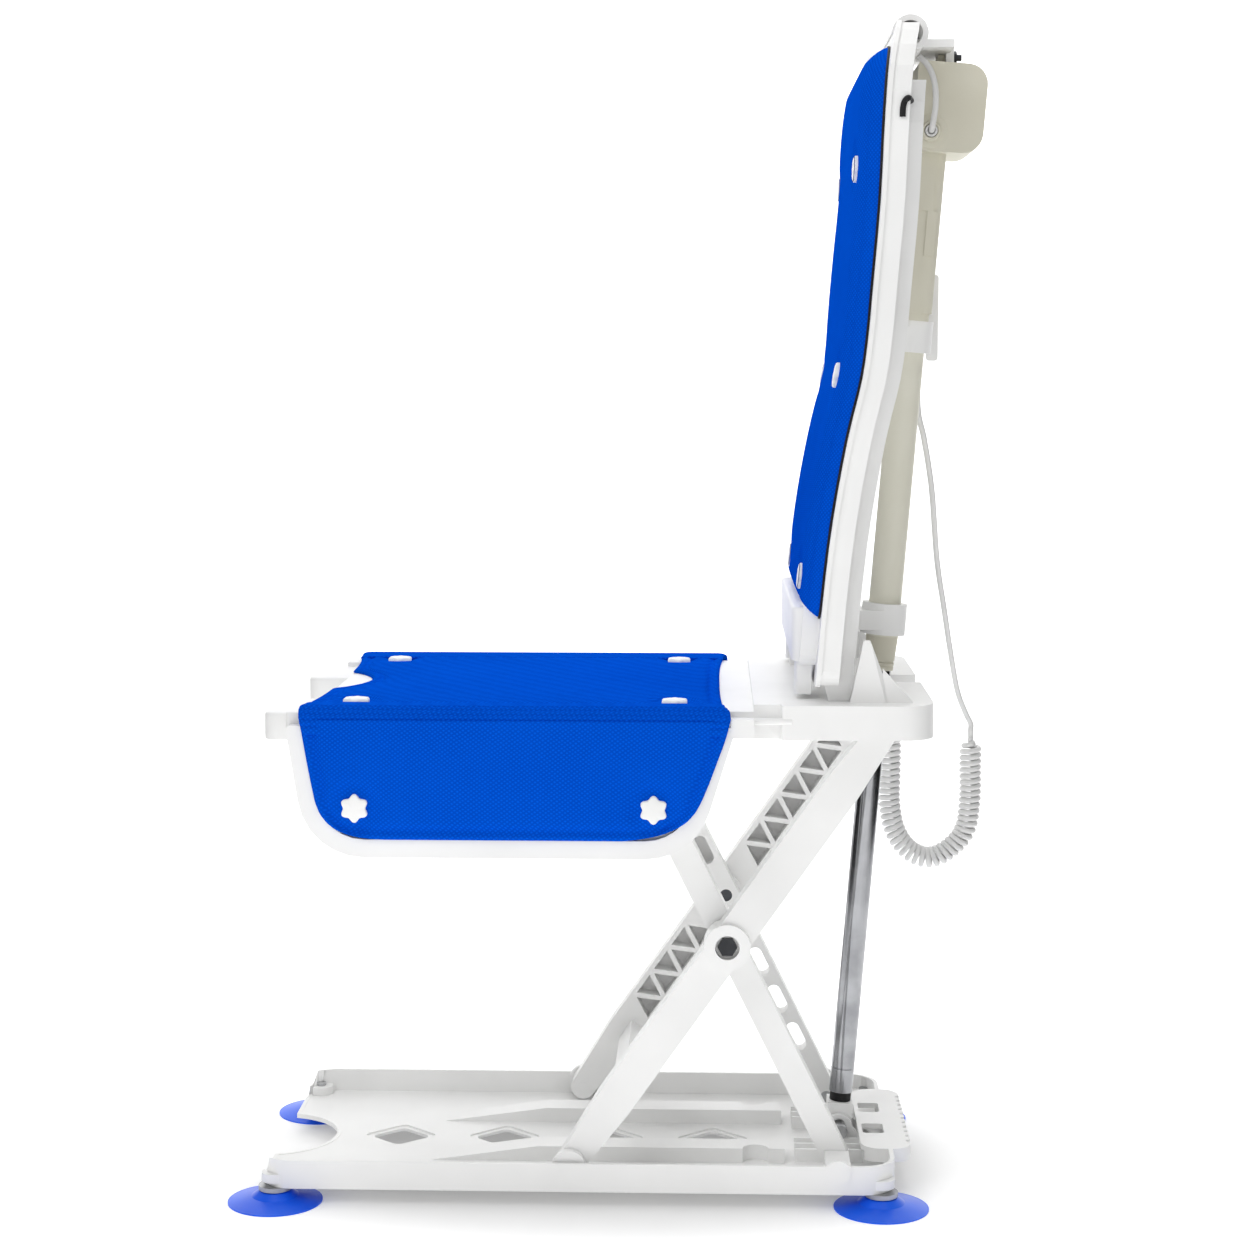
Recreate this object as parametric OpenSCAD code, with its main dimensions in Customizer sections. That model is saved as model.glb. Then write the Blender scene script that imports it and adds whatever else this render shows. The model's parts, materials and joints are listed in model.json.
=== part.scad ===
// Bath lift: a seat on scissor legs, with folding side flaps, a backrest and a spindle drive behind it
// X runs to the rear, Y to the sitter's right and Z up, in millimetres
// Places are written from the middle of the base tray, and at_origin() moves them under the middle of the lift

/* [Base tray] */
// Length of the tray
base_l = 577; // [560:1:600]
// Width of the tray
base_w = 290; // [286:1:310]
// Height of the tray's underside above the floor
base_z = 16; // [14:0.5:18]
// Height of the tray's wall
wall_h = 26; // [22:1:28]
// Thickness of the tray's wall
wall_t = 4; // [3:0.5:5]
// Thickness of the tray's floor
floor_t = 4; // [3:0.5:5]
// Radius of the tray's corners
base_corner_r = 30; // [20:1:36]
// Radius of the notch in the front edge
notch_r = 62; // [50:1:70]
// Depth of the notch in the front edge
notch_depth = 49; // [36:1:54]
// Diameter of a suction cup
cup_d = 86; // [70:1:96]
// Distance of a cup's middle from the tray's end and side
cup_inset = 13; // [12:0.5:18]

/* [Scissor legs] */
// Distance of the rear pivot from the tray's rear end
pivot_inset = 52.5; // [48:0.5:58]
// Height of the rear pivot and of the front rollers
pivot_z = 36; // [36:0.5:38]
// Height of the seat's pivots above the tray's pivots
rise = 406; // [380:1:420]
// Distance between the pivots of an inner leg
inner_leg_l = 453; // [445:1:470]
// Distance between the pivots of an outer leg
outer_leg_l = 496; // [480:1:510]
// Width of an inner leg
inner_leg_w = 30; // [26:0.5:31]
// Width of an outer leg
outer_leg_w = 33; // [30:0.5:34]
// Thickness of a leg
leg_t = 22; // [18:0.5:24]
// Radius of a leg's round ends
leg_end_r = 12; // [10:0.5:13]
// Length over which a leg narrows to its ends
leg_taper = 70; // [50:1:90]
// Distance of an inner leg's inner face from the tray's side
leg_inset = 62; // [61:0.5:64]
// Diameter of the pivot pins
pivot_d = 12; // [10:0.5:13]

/* [Seat] */
// Height of the seat's rim
seat_h = 30; // [28:0.5:34]
// Length of the seat
seat_l = 597; // [586:1:610]
// Width of the seat
seat_w = 380; // [376:1:390]
// Thickness of the seat's top plate
plate_t = 4; // [3:0.5:5]
// Length of the flap's bay
bay_l = 417; // [412:1:424]
// Thickness of the seat cover
seat_pad_t = 5; // [3:0.5:7]

/* [Side flaps] */
// Length of a flap along its hinge
flap_l = 389; // [380:1:395]
// Height of a hanging flap below its hinge
flap_h = 118; // [100:1:140]
// Thickness of the flap's frame
flap_t = 10; // [8:0.5:12]
// Width of the flap's frame
flap_rim = 16; // [12:0.5:20]
// Radius of the flap's lower corners
flap_r = 58; // [40:1:66]
// Thickness of the flap's cover
flap_pad_t = 5; // [3:0.5:6]

/* [Backrest] */
// Height of the backrest from its lower edge to its upper edge
back_h = 578; // [540:1:620]
// How far the top of the backrest lies behind its foot
back_sweep = 80; // [60:1:95]
// Thickness of the backrest's panel
panel_t = 4; // [3:0.5:5]
// How far the panel stands in front of the flange
panel_proud = 15; // [10:0.5:18]
// Thickness of the padded back cover at its middle
back_pad_t = 10; // [7:0.5:14]

/* [Drive] */
// Diameter of the pushing rod
rod_d = 22; // [20:0.5:23]
// Outer diameter of the guide tube
tube_d = 30; // [29:0.5:31]
// Length of the guide tube between its nose and the casing
tube_l = 300; // [297:0.5:303]
// Lean of the drive to the rear, in degrees
tilt = 4.5; // [4:0.1:5]
// Depth of the motor head
head_l = 63; // [58:1:70]
// Width of the motor head
head_w = 92; // [86:1:100]
// Height of the motor head
head_h = 79; // [74:1:86]

/* [Cord] */
// Diameter of the handset's cord
cord_d = 5.6; // [5:0.1:5.6]
// Radius of the curls, to the middle of the cord
curl_r = 7; // [6.6:0.1:7.2]
// Number of curls
curls = 38; // [36:1:40]

/* [Hidden] */
$fn = 48;
// Clearances and overruns that all pieces share
run_fit = 0.05;
seat_gap = 0.3;
cut = 1;
arc_steps = 6;

white = "whitesmoke";
blue = "royalblue";
cup_blue = "dodgerblue";
beige = "tan";
ivory = "beige";
steel = "silver";
black = "dimgray";

// Tray details
rear_pivot_x = base_l / 2 - pivot_inset;
inner_leg_y = base_w / 2 - leg_inset;
tray_top = base_z + wall_h;
floor_z = base_z + floor_t;
notch_x = base_l / 2 + notch_r - notch_depth;
diamond_l = 58;
diamond_w = 52;
diamond_pitch = 100;
diamond_r = 6;
diamond_bevel = 7;
diamond_bevel_depth = 1.5;
diamond_count = 4;
diamond_first = 111.5;
diamond_first_x = diamond_first - base_l / 2;
ridge_in = 39;
ridge_y = inner_leg_y - ridge_in;
ridge_w = 28;
ridge_h = 14;
ridge_start = 148.5;
ridge_climb = 100;
ridge_back = 46;
ridge_start_x = ridge_start - base_l / 2;
ridge_full_x = ridge_start_x + ridge_climb;
ridge_end_x = rear_pivot_x - ridge_back;
ridge_bite_r = 12;
ridge_bite = 27;
ridge_bite_x = ridge_end_x - ridge_bite;
block_w = 22;
block_rise = 8;
block_top = pivot_z + block_rise;
block_proud = 2;
block_arc_rise = 1;
block_arc_z = pivot_z + block_arc_rise;
rib_t = 3;
bay_rib_h = 12;
deck_inset = 28.5;
deck_x0 = base_l / 2 - deck_inset;
bay_rib_gap = 10;
bay_rib_x0 = ridge_end_x + bay_rib_gap;
bay_rib_x1 = deck_x0 + 2 * cut;
bay_rib_y = 30;
bay_rib_count = 3;
bay_rib_pitch = (inner_leg_y - bay_rib_y - rib_t) / bay_rib_count;
deck_overhang = 18;
deck_side = 53;
deck_w = base_w - 2 * deck_side;
deck_t = 5;
deck_r = 18;
deck_lip = 13;
grip_slot_l = 20;
grip_slot_w = 28;
grip_slot_y = 32;
grip_slot_inset = 14;
grip_slot_x = deck_x0 + grip_slot_inset;
grip_slot_r = 3;
scallop_r = 4;
scallop_count = 11;
scallop_pitch = (deck_w - 2 * deck_r) / scallop_count;
corner_boss_r = 12;
corner_boss_h = 8;

// Suction cups and their studs
cup_x = base_l / 2 - cup_inset;
cup_y = base_w / 2 - cup_inset;
cup_h = 12;
cup_lip_t = 1.2;
cup_neck_r = 11;
cup_ring = 4;
cup_dome_h = 4;
stud_d = 9;
stud_out = 3;
stud_top = floor_z + corner_boss_h + stud_out;
washer_d = 30;

// Drive axis and its foot
foot_back = 7;
foot_rise = 2;
foot_x = rear_pivot_x + foot_back;
foot_z = pivot_z + foot_rise;
foot_pin_d = 11;
foot_w = 27;
foot_r = 12;
foot_fit = 0.35;
foot_top = 22;
ring_h = 8;
ring_r = 10;
rod_s = foot_top + ring_h;
rod_collar_l = 24;
rod_seam_s = rod_s + rod_collar_l;
rod_seam = 0.8;
ear_gap = 1.5;
ear_y = foot_w / 2 + ear_gap;
ear_t = 7;
ear_r = 13;
ear_slot = 4;
ear_back = 34;
ear_back_x = foot_x + ear_back;
pin_head_r = 8;
pin_head_t = 3;

// Linkage at rest
inner_r = inner_leg_l / 2;
outer_r = outer_leg_l / 2;
inner_a = asin(rise / 2 / inner_r);
outer_a = asin(rise / 2 / outer_r);
cross_x = rear_pivot_x - inner_r * cos(inner_a);
cross_z = pivot_z + rise / 2;
seat_pivot = [cross_x + outer_r * cos(outer_a), pivot_z + rise];
roller_at = [cross_x - outer_r * cos(outer_a), pivot_z];
axle_at = [cross_x - inner_r * cos(inner_a), pivot_z + rise];

// Leg details
leg_gap = 3;
outer_leg_y = inner_leg_y + leg_t + leg_gap;
leg_out_y = outer_leg_y + leg_t;
leg_skin = 3;
leg_rim = 5;
truss_pitch = 30;
truss_open_share = 0.74;
boss_r = 21;
boss_h = 4;
boss_recess_r = 11;
boss_recess_h = 8;
boss_clear = 34;
oval_l = 30;
oval_w = 13;
oval_pitch = 42;
roller_r = pivot_z - floor_z - seat_gap;
roller_t = 8;
roller_gap = 0.5;
slider_d = 10;
beam_along = 74;
beam_l = 22;
beam_h = 16;
beam_wall = 3;
axle_d = 10;
top_roller_d = 16;
top_roller_w = 14;
top_roller_in = 17;
top_roller_y = inner_leg_y - top_roller_in;
bolt_head_r = 9;
bolt_head_h = 5;
bolt_seat = leg_out_y + boss_h - boss_recess_h + seat_gap;

// Seat details
seat_over = 78;
seat_rear = rear_pivot_x + seat_over;
seat_front = seat_l - seat_rear;
bay_back = 55;
bay_rear = rear_pivot_x - bay_back;
bay_front = bay_l - bay_rear;
seat_drop = 6;
seat_z = pivot_z + rise - seat_drop;
seat_top = seat_z + seat_h;
plate_z = seat_top - plate_t;
seat_sink = 6;
sunk_back = 24;
sunk_x = bay_rear - sunk_back;
sunk_top = seat_top - seat_sink;
rim_t = 4;
bay_edge = 8;
seat_front_r = 10;
seat_rear_r = 30;
bay_r = 2;
rear_notch_depth = 62;
rear_notch_x = seat_rear - rear_notch_depth;
rear_notch_w = 52;
rear_notch_r = 8;
seat_lug_r = 9;
seat_lug_gap = 1;
seat_lug_t = 10;
seat_lug_y = leg_out_y + seat_lug_gap;
hinge_inset = 2;
hinge_rise = 16;
hinge_y = seat_w / 2 - hinge_inset;
hinge_z = seat_z + hinge_rise;
back_pivot = [rear_pivot_x, hinge_z];
back_pivot_d = 10;
back_narrow = 12;
back_w = seat_w - back_narrow;
flange_w = 26;
wall_w = 6;
back_lug_inset = 0.5;
back_lug_t = wall_w - 2 * back_lug_inset;
back_lug_r = 10;
back_lug_y = back_w / 2 - flange_w - wall_w + back_lug_inset;
cheek_gap = 1.5;
cheek_rib_t = 6;
cheek_y = back_lug_y + back_lug_t + cheek_gap;
cheek_t = 11;
cheek_h = 54;
cheek_foot = 4;
cheek_set = 12;
cheek_top_l = 14;
cheek_flare = 6;
cheek_foot_x = back_pivot.x + cheek_foot;
cheek_top_x0 = cheek_foot_x + cheek_set;
cheek_top_x1 = cheek_top_x0 + cheek_top_l;
cheek_rear_x = cheek_top_x1 + cheek_flare;
gusset_l = 24;
gusset_x = cheek_rear_x + gusset_l;
gusset_h = 30;
lug_slot_front = 14;
lug_slot_rear = 28;
lug_slot_x0 = back_pivot.x - lug_slot_front;
lug_slot_x1 = back_pivot.x + lug_slot_rear;
back_foot_front = 26;
back_foot_rise = 14;
back_foot = [back_pivot.x - back_foot_front, seat_top + back_foot_rise];
stop_gap = 13;
stop_x = back_foot.x - stop_gap;
stop_l = 11;
stop_w = 14;
stop_h = 22;
stop_y = 96;
pad_front_inset = 8;
pad_rear_inset = 53;
pad_front = bay_front - pad_front_inset;
pad_rear = bay_rear - pad_rear_inset;
pad_side = 4;
pad_half = seat_w / 2 - bay_edge - pad_side;
pad_r = 16;
pad_notch_r = 34;
pad_step = 6;
pad_edge_share = 0.6;
knob_r = 9.5;
knob_lobe_r = 4.5;
knob_lobes = 6;
knob_h = 6;
knob_lift = 0.6;
knob_out_r = knob_r + knob_lobe_r;
seat_knob_h = 8;
seat_knob_front = 35;
seat_knob_rear = 40;
seat_knob_inset = 28;
seat_knob_xs = [seat_knob_front - pad_front, pad_rear - seat_knob_rear];
seat_knob_y = pad_half - seat_knob_inset;

// Flap details
flap_over = 11;
flap_down = 3;
flap_x0 = -bay_front - flap_over;
flap_x1 = flap_x0 + flap_l;
flap_out = 8;
flap_y = hinge_y + flap_out;
flap_top = hinge_z - flap_down;
flap_low = hinge_z - flap_h;
flap_front_share = 0.155;
flap_rear_share = 0.31;
hinge_block_l = 15;
hinge_block_gap = 0.5;
hinge_block_low = 12;
hinge_block_high = 4;
flap_web_t = 3;
flap_top_r = 4;
knuckle_r = 5.4;
knuckle_l = 24;
knuckle_inset = 16;
knuckle_xs = [flap_x0 + knuckle_inset, flap_x1 - knuckle_inset - knuckle_l];
flap_pin_d = 6;
hinge_block_y = hinge_y + flap_pin_d / 2 + hinge_block_gap;
flap_pin_bite = 9;
flap_pin_front = [-bay_front - flap_pin_bite, knuckle_xs[0] + knuckle_l];
flap_pin_rear = [knuckle_xs[1], bay_rear + flap_pin_bite];
flap_pad_top = 12;
flap_pad_inset = 2;
flap_knob_front = 60;
flap_knob_rear = 71;
flap_knob_xs = [flap_x0 + flap_knob_front, flap_x1 - flap_knob_rear];
flap_knob_drop = 74;

// Backrest details
back_top_r = 95;
back_foot_r = 14;
back_low_share = 0.6;
wall_top = 520;
flange_t = 4;
rim_set = 2;
rim_w = 6;
rim_depth = 20;
wall_depth = 34;
spline_steps = 3;
// Front edge of the flange: height as a share of back_h, set back as a share of back_sweep
back_shares = [[0, 0], [0.13, 0.075], [0.25, 0.175], [0.37, 0.325], [0.46, 0.475], [0.53, 0.54],
    [0.59, 0.575], [0.72, 0.65], [0.85, 0.69], [0.93, 0.75], [1, 0.87]];
lip_r = 16;
lip_t = 5;
lip_side = 79;
lip_w = back_w - 2 * lip_side;
lip_set = 1;
lip_drop = 13;
lip_at = [back_foot.x + back_sweep + lip_set, back_foot.y + back_h - lip_drop];
lip_tail = 14;
hood_w = 130;
hood_t = 7;
hood_rib_h = 53;
hood_rib_rear = 43;
hood_rib_rise = 35;
hood_rib_t = 6;
hood_end_h = 20;
pad_rows = 26;
pad_cols = 14;
back_pad_side = 20;
back_pad_half = back_w / 2 - back_pad_side;
pad_foot = 24;
pad_head = 22;
pad_crowd_share = 0.12;
pad_thin_share = 0.4;
pad_arch_power = 2.6;
pad_rim_t = 1.4;
back_knob_inset = 42;
back_knob_y = back_pad_half - back_knob_inset;
back_knob_shares = [0.16, 0.465, 0.773];

// Drive details, as distances along its axis from the foot's pin
nose_lift = 8.65;
nose_s = (seat_top + nose_lift - foot_z) / cos(tilt);
nose_l = 32;
nose_mouth_r = 13;
nose_groove = 0.8;
tube_wall = 2.6;
tube_s = nose_s + nose_l;
casing_s = tube_s + tube_l;
tube_bite = 22;
tube_top_s = casing_s + tube_bite;
clamp_l = 29;
clamp_r = 21;
clamp_lift = 2;
clamp_drop = 36;
clamp_low_s = tube_s + clamp_lift;
clamp_high_s = casing_s - clamp_drop;
clamp_arm_w = 46;
clamp_arm_l = 18;
clip_gap = 2;
casing_l = 144;
casing_top_s = casing_s + casing_l;
casing_half = 17;
casing_w = 54;
casing_r = 8;
casing_collar_l = 7;
casing_collar_inset = 2;
casing_step = 1.5;
casing_step_l = 52;
casing_step_s = casing_top_s - casing_step_l;
casing_tab_l = 40;
casing_tab_s = casing_step_s - casing_tab_l;
casing_tab_x = 4;
bearing_d = 28;
bearing_l = 10;
head_s = casing_top_s;
head_back = head_l - casing_half;
head_r = 18;
head_front_r = 4;
head_wall = 3;
head_split = 41;
head_lug_l = 7;
head_lug_h = 14;
head_lug_w = 24;
hood_gap = 8.7;
hood_reach = 16;
hood_z = foot_z + (head_s + head_h) * cos(tilt) + casing_half * sin(tilt) + hood_gap;
hood_x1 = foot_x + (head_s + head_h) * sin(tilt) + hood_reach;
hood_foot_z = hood_z - hood_rib_h;
hood_foot_x = hood_x1 - hood_rib_rear;
bolt_d = 6;
bolt_out = 9;
screw_d = 12;
screw_out = 8;
screw_s = tube_s - screw_out;
nut_l = 29;
rod_bite = 30;
rod_top_s = tube_s + rod_bite;
rod_bore_r = 8;
rod_plug_l = 32;
rod_bore_s = rod_s + rod_plug_l;
wheel_r = 13;
wheel_l = 10;
wheel_rise = 30;
wheel_s = head_s + wheel_rise;
worm_r = 6;
worm_l = 26;
motor_r = 17;
motor_l = 29;
plug_rise = 12;
plug_s = head_s + plug_rise;
plug_x = -5;
plug_r = 8;
plug_l = 6;
jumper_d = 6;
jumper_bend = 7;
hook_y = 29;
hook_t = 3;
hook_set = 1.4;
hook_down = 7.7;
hook_l = 29;
hook_h = 80;
hook_x0 = foot_x + clamp_high_s * sin(tilt) + hook_set;
hook_x1 = hook_x0 + hook_l;
hook_low = foot_z + clamp_high_s * cos(tilt) - hook_down;
hook_high = hook_low + hook_h;
hook_w = 11;
hook_block_rise = 12;
hook_block_z = hook_low + hook_block_rise;
hook_block_h = 20;
hook_block_l = 7;
hook_block_y = 10;

// Handset details
handset_set = 15;
handset_x0 = bay_rear + handset_set;
handset_l = 124;
handset_drop = 34;
handset_z = seat_z - handset_drop;
handset_h = 52;
handset_t = 21;
handset_r = 9;
holder_t = 3;
button_r = 8;
button_out = 2;
button_depth = 4;
button_travel = 1.5;
button_inset = 26;
button_pitch = 26;
button_x = handset_x0 + button_inset;
handset_y = seat_w / 2 + holder_t;
button_z = handset_z + handset_h / 2;
inlet_r = 5;
inlet_l = 12;
inlet_inset = 16;
inlet_at = [handset_x0 + handset_l - inlet_inset, handset_y + handset_t / 2, handset_z - inlet_l];

// Gland under the casing, and the plain lead's route from it down to the curls
gland_r = 3.6;
gland_l = 16;
gland_x = 12;
gland_y = 22.5;
gland_s = casing_s - casing_collar_l - gland_l;
axis_dir = [sin(tilt), 0, cos(tilt)];
lead_start = [foot_x, gland_y, foot_z] + gland_s * axis_dir + gland_x * [cos(tilt), 0, -sin(tilt)];
curl_span = 82;
curl_drop = 136;
// Route of the curls, down behind the seat and up again under the handset, as shares of their span and drop
curl_shares = [[1, 0.066], [1, 0.287], [1, 0.566], [0.939, 0.794], [0.732, 0.941], [0.488, 1], [0.244, 0.941],
    [0.073, 0.794], [0, 0.588], [0, 0.368], [0, 0]];
curl_route = [for (c = curl_shares) inlet_at + [c[0] * curl_span, 0, -c[1] * curl_drop - run_fit]];
// Route of the lead between its gland and the curls, as shares of the way along X, Y and Z
lead_shares = [[-0.008, 0.019, 0.164], [0.089, 0.074, 0.234], [0.227, 0.211, 0.356], [0.365, 0.458, 0.531],
    [0.517, 0.644, 0.661], [0.641, 0.786, 0.768], [0.779, 0.907, 0.878], [0.917, 0.973, 0.94], [1, 1, 0.97], [1, 1, 0.985], [1, 1, 1]];
lead_way = curl_route[0] + [0, 0, seat_gap] - lead_start;
lead_route = concat([for (k = [0 : 2]) lead_start - (seat_gap + 2 * k * cord_d) * axis_dir],
    [for (w = lead_shares) lead_start + [w.x * lead_way.x, w.y * lead_way.y, w.z * lead_way.z]]);
lead_sides = 8;
curl_sides = 6;
curl_rings = 8;

// Middle of the lift without its cord, between its front cups and the back of the motor head
front_reach = cup_x + cup_d / 2;
head_rear = foot_x + (head_s + head_h - head_r) * sin(tilt) + (head_back - head_r) * cos(tilt) + head_r;
mid_x = (head_rear - front_reach) / 2;

// Geometry helpers
function unit(v) = v / norm(v);
function flat(p) = [p.x, p.y];
// Arc of radius r that rounds the corner q between its neighbours p and s
function corner(p, q, s, r) =
    let (u = unit(p - q), v = unit(s - q), half = acos(u * v) / 2,
         mid = q + unit(u + v) * r / sin(half),
         a = q + u * r / tan(half) - mid, b = q + v * r / tan(half) - mid,
         from = atan2(a.y, a.x), turn = atan2(a.x * b.y - a.y * b.x, a * b))
    [for (i = [0 : arc_steps]) mid + r * [cos(from + turn * i / arc_steps), sin(from + turn * i / arc_steps)]];
// Outline with corners given as [x, y, radius]
function rounded(o) = [for (i = [0 : len(o) - 1])
    let (n = len(o), p = o[(i + n - 1) % n], q = o[i], s = o[(i + 1) % n])
    each q.z > 0 ? corner(flat(p), flat(q), flat(s), q.z) : [flat(q)]];
function box_outline(x0, y0, x1, y1, r) = rounded([[x0, y0, r], [x1, y0, r], [x1, y1, r], [x0, y1, r]]);
// Smooth curve through points, with steps pieces between neighbours
function at_end(p, i) = p[min(max(i, 0), len(p) - 1)];
function curve_at(p, i, t) =
    let (a = at_end(p, i - 1), b = p[i], c = at_end(p, i + 1), d = at_end(p, i + 2))
    (2 * b + (c - a) * t + (2 * a - 5 * b + 4 * c - d) * t * t + (3 * b - a - 3 * c + d) * t * t * t) / 2;
function curve(p, steps) = [for (i = [0 : len(p) - 2], k = [0 : steps - 1]) curve_at(p, i, k / steps), p[len(p) - 1]];

// A drawing in side view, front view or plan, given its thickness
module side(y, t) translate([0, y + t, 0]) rotate([90, 0, 0]) linear_extrude(t) children();
module face(x, t) translate([x, 0, 0]) rotate([90, 0, 90]) linear_extrude(t) children();
module plan(z, t) translate([0, 0, z]) linear_extrude(t) children();
module both() {
    children();
    mirror([0, 1, 0]) children();
}
module cross_pin(at, y0, y1, r) translate([at.x, y1, at.y]) rotate([90, 0, 0]) cylinder(r = r, h = y1 - y0);
module on_axis(s) translate([foot_x, 0, foot_z]) rotate([0, tilt, 0]) translate([0, 0, s]) children();
module at_origin() translate([-mid_x, 0, 0]) children();

// Tube of a cord along its ring centres, with a direction for the first corner of each ring
function along(p, i) = unit(at_end(p, i + 1) - at_end(p, i - 1));
function ring(p, i, r, sides, ref) =
    let (t = along(p, i), u = unit(ref[i] - (ref[i] * t) * t), v = cross(t, u))
    [for (k = [0 : sides - 1]) p[i] + r * (cos(360 * k / sides) * u + sin(360 * k / sides) * v)];
module cord_tube(p, r, sides, ref) {
    n = len(p);
    points = [for (i = [0 : n - 1]) each ring(p, i, r, sides, ref)];
    skin = [for (i = [0 : n - 2], k = [0 : sides - 1])
        let (a = i * sides + k, b = i * sides + (k + 1) % sides) each [[a, b, a + sides], [b, b + sides, a + sides]]];
    ends = [for (k = [1 : sides - 2]) each [[0, k + 1, k], [(n - 1) * sides, (n - 1) * sides + k, (n - 1) * sides + k + 1]]];
    polyhedron(points, concat(skin, ends));
}

// Base tray with its ridges, pivot blocks, foot ears and rear grip
module tray_plan(inset) difference() {
    polygon(box_outline(inset - base_l / 2, inset - base_w / 2, base_l / 2 - inset, base_w / 2 - inset,
        base_corner_r - inset));
    translate([-notch_x, 0]) circle(notch_r + inset);
}
module diamond(grow) polygon(rounded([[-diamond_l / 2 - grow, 0, diamond_r], [0, -diamond_w / 2 - grow, diamond_r],
    [diamond_l / 2 + grow, 0, diamond_r], [0, diamond_w / 2 + grow, diamond_r]]));
module diamonds() for (i = [0 : diamond_count - 1]) translate([diamond_first_x + i * diamond_pitch, 0]) {
    plan(base_z - cut, floor_t + 2 * cut) diamond(0);
    plan(floor_z - diamond_bevel_depth, floor_t) diamond(diamond_bevel);
}
module ridge() difference() {
    side(ridge_y, ridge_w) polygon([[ridge_start_x, floor_z], [ridge_end_x, floor_z],
        [ridge_end_x, floor_z + ridge_h], [ridge_full_x, floor_z + ridge_h]]);
    translate([ridge_bite_x, ridge_y + ridge_w, floor_z]) cylinder(r = ridge_bite_r, h = ridge_h + cut);
}
module pivot_block() {
    y0 = inner_leg_y + leg_t + seat_gap;
    side(y0, base_w / 2 - y0) translate([rear_pivot_x - block_w / 2, floor_z]) square([block_w, block_top - floor_z]);
    side(base_w / 2 - wall_t, wall_t + block_proud) {
        translate([rear_pivot_x, block_arc_z]) circle(block_w / 2);
        translate([rear_pivot_x - block_w / 2, block_arc_z]) square([block_w, block_top - block_arc_z]);
    }
}
module ear() side(ear_y, ear_t) {
    translate([foot_x, foot_z]) circle(ear_r);
    polygon([[foot_x - ear_r, floor_z], [ear_back_x, floor_z], [foot_x + ear_r, foot_z], [foot_x - ear_r, foot_z]]);
}
module rear_deck() {
    x1 = base_l / 2 + deck_overhang;
    plan(tray_top - deck_t, deck_t) polygon(box_outline(deck_x0, -deck_w / 2, x1, deck_w / 2, deck_r));
    plan(tray_top - deck_lip, deck_lip) difference() {
        polygon(box_outline(deck_x0, -deck_w / 2, x1, deck_w / 2, deck_r));
        polygon(box_outline(deck_x0 - cut, -deck_w / 2 + wall_t, x1 - wall_t, deck_w / 2 - wall_t, deck_r - wall_t));
    }
}
module base_tray() color(white) difference() {
    union() {
        plan(base_z, floor_t) tray_plan(0);
        plan(base_z, wall_h) difference() {
            tray_plan(0);
            tray_plan(wall_t);
        }
        both() {
            ridge();
            pivot_block();
            ear();
            for (i = [0 : bay_rib_count - 1]) side(bay_rib_y + i * bay_rib_pitch, rib_t)
                translate([bay_rib_x0, floor_z]) square([bay_rib_x1 - bay_rib_x0, bay_rib_h]);
            for (x = [-cup_x, cup_x]) translate([x, cup_y, floor_z]) cylinder(r = corner_boss_r, h = corner_boss_h);
        }
        rear_deck();
    }
    diamonds();
    both() {
        cross_pin([rear_pivot_x, pivot_z], inner_leg_y, base_w / 2 - wall_t, pivot_d / 2 + run_fit);
        cross_pin([foot_x, foot_z], 0, ear_y + ear_t + cut, foot_pin_d / 2 + run_fit);
        cross_pin([foot_x, foot_z + ear_slot], 0, ear_y + ear_t + cut, foot_pin_d / 2 + run_fit);
        for (x = [-cup_x, cup_x]) translate([x, cup_y, base_z - cut]) cylinder(r = stud_d / 2 + run_fit, h = wall_h);
        plan(tray_top - deck_t - cut, deck_t + 2 * cut) translate([grip_slot_x, grip_slot_y])
            polygon(box_outline(-grip_slot_l / 2, -grip_slot_w / 2, grip_slot_l / 2, grip_slot_w / 2, grip_slot_r));
    }
    for (i = [0 : scallop_count - 1])
        translate([base_l / 2 + deck_overhang, (i - (scallop_count - 1) / 2) * scallop_pitch, tray_top - scallop_r / 2])
        cylinder(r = scallop_r, h = scallop_r);
}
module suction_cup(x, y) color(cup_blue) translate([x, y, 0]) rotate_extrude()
    polygon([[0, cup_dome_h], [cup_d / 2 - cup_h, cup_dome_h / 2], [cup_d / 2 - cup_ring, 0], [cup_d / 2, 0],
        [cup_d / 2, cup_lip_t],
        [cup_d / 4, cup_h / 2], [washer_d / 2, cup_h - cup_lip_t], [cup_neck_r, cup_h], [0, cup_h]]);
module cup_studs() color(steel) both() for (x = [-cup_x, cup_x]) translate([x, cup_y, cup_h]) {
    cylinder(d = washer_d, h = base_z - cup_h);
    cylinder(d = stud_d, h = stud_top - cup_h);
}
module base_pins() color(steel) both()
    cross_pin([rear_pivot_x, pivot_z], inner_leg_y + leg_skin, base_w / 2 - wall_t, pivot_d / 2);
module foot_pin() color(steel) {
    cross_pin([foot_x, foot_z], -ear_y - ear_t, ear_y + ear_t, foot_pin_d / 2);
    both() cross_pin([foot_x, foot_z], ear_y + ear_t, ear_y + ear_t + pin_head_t, pin_head_r / 2);
}

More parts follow.
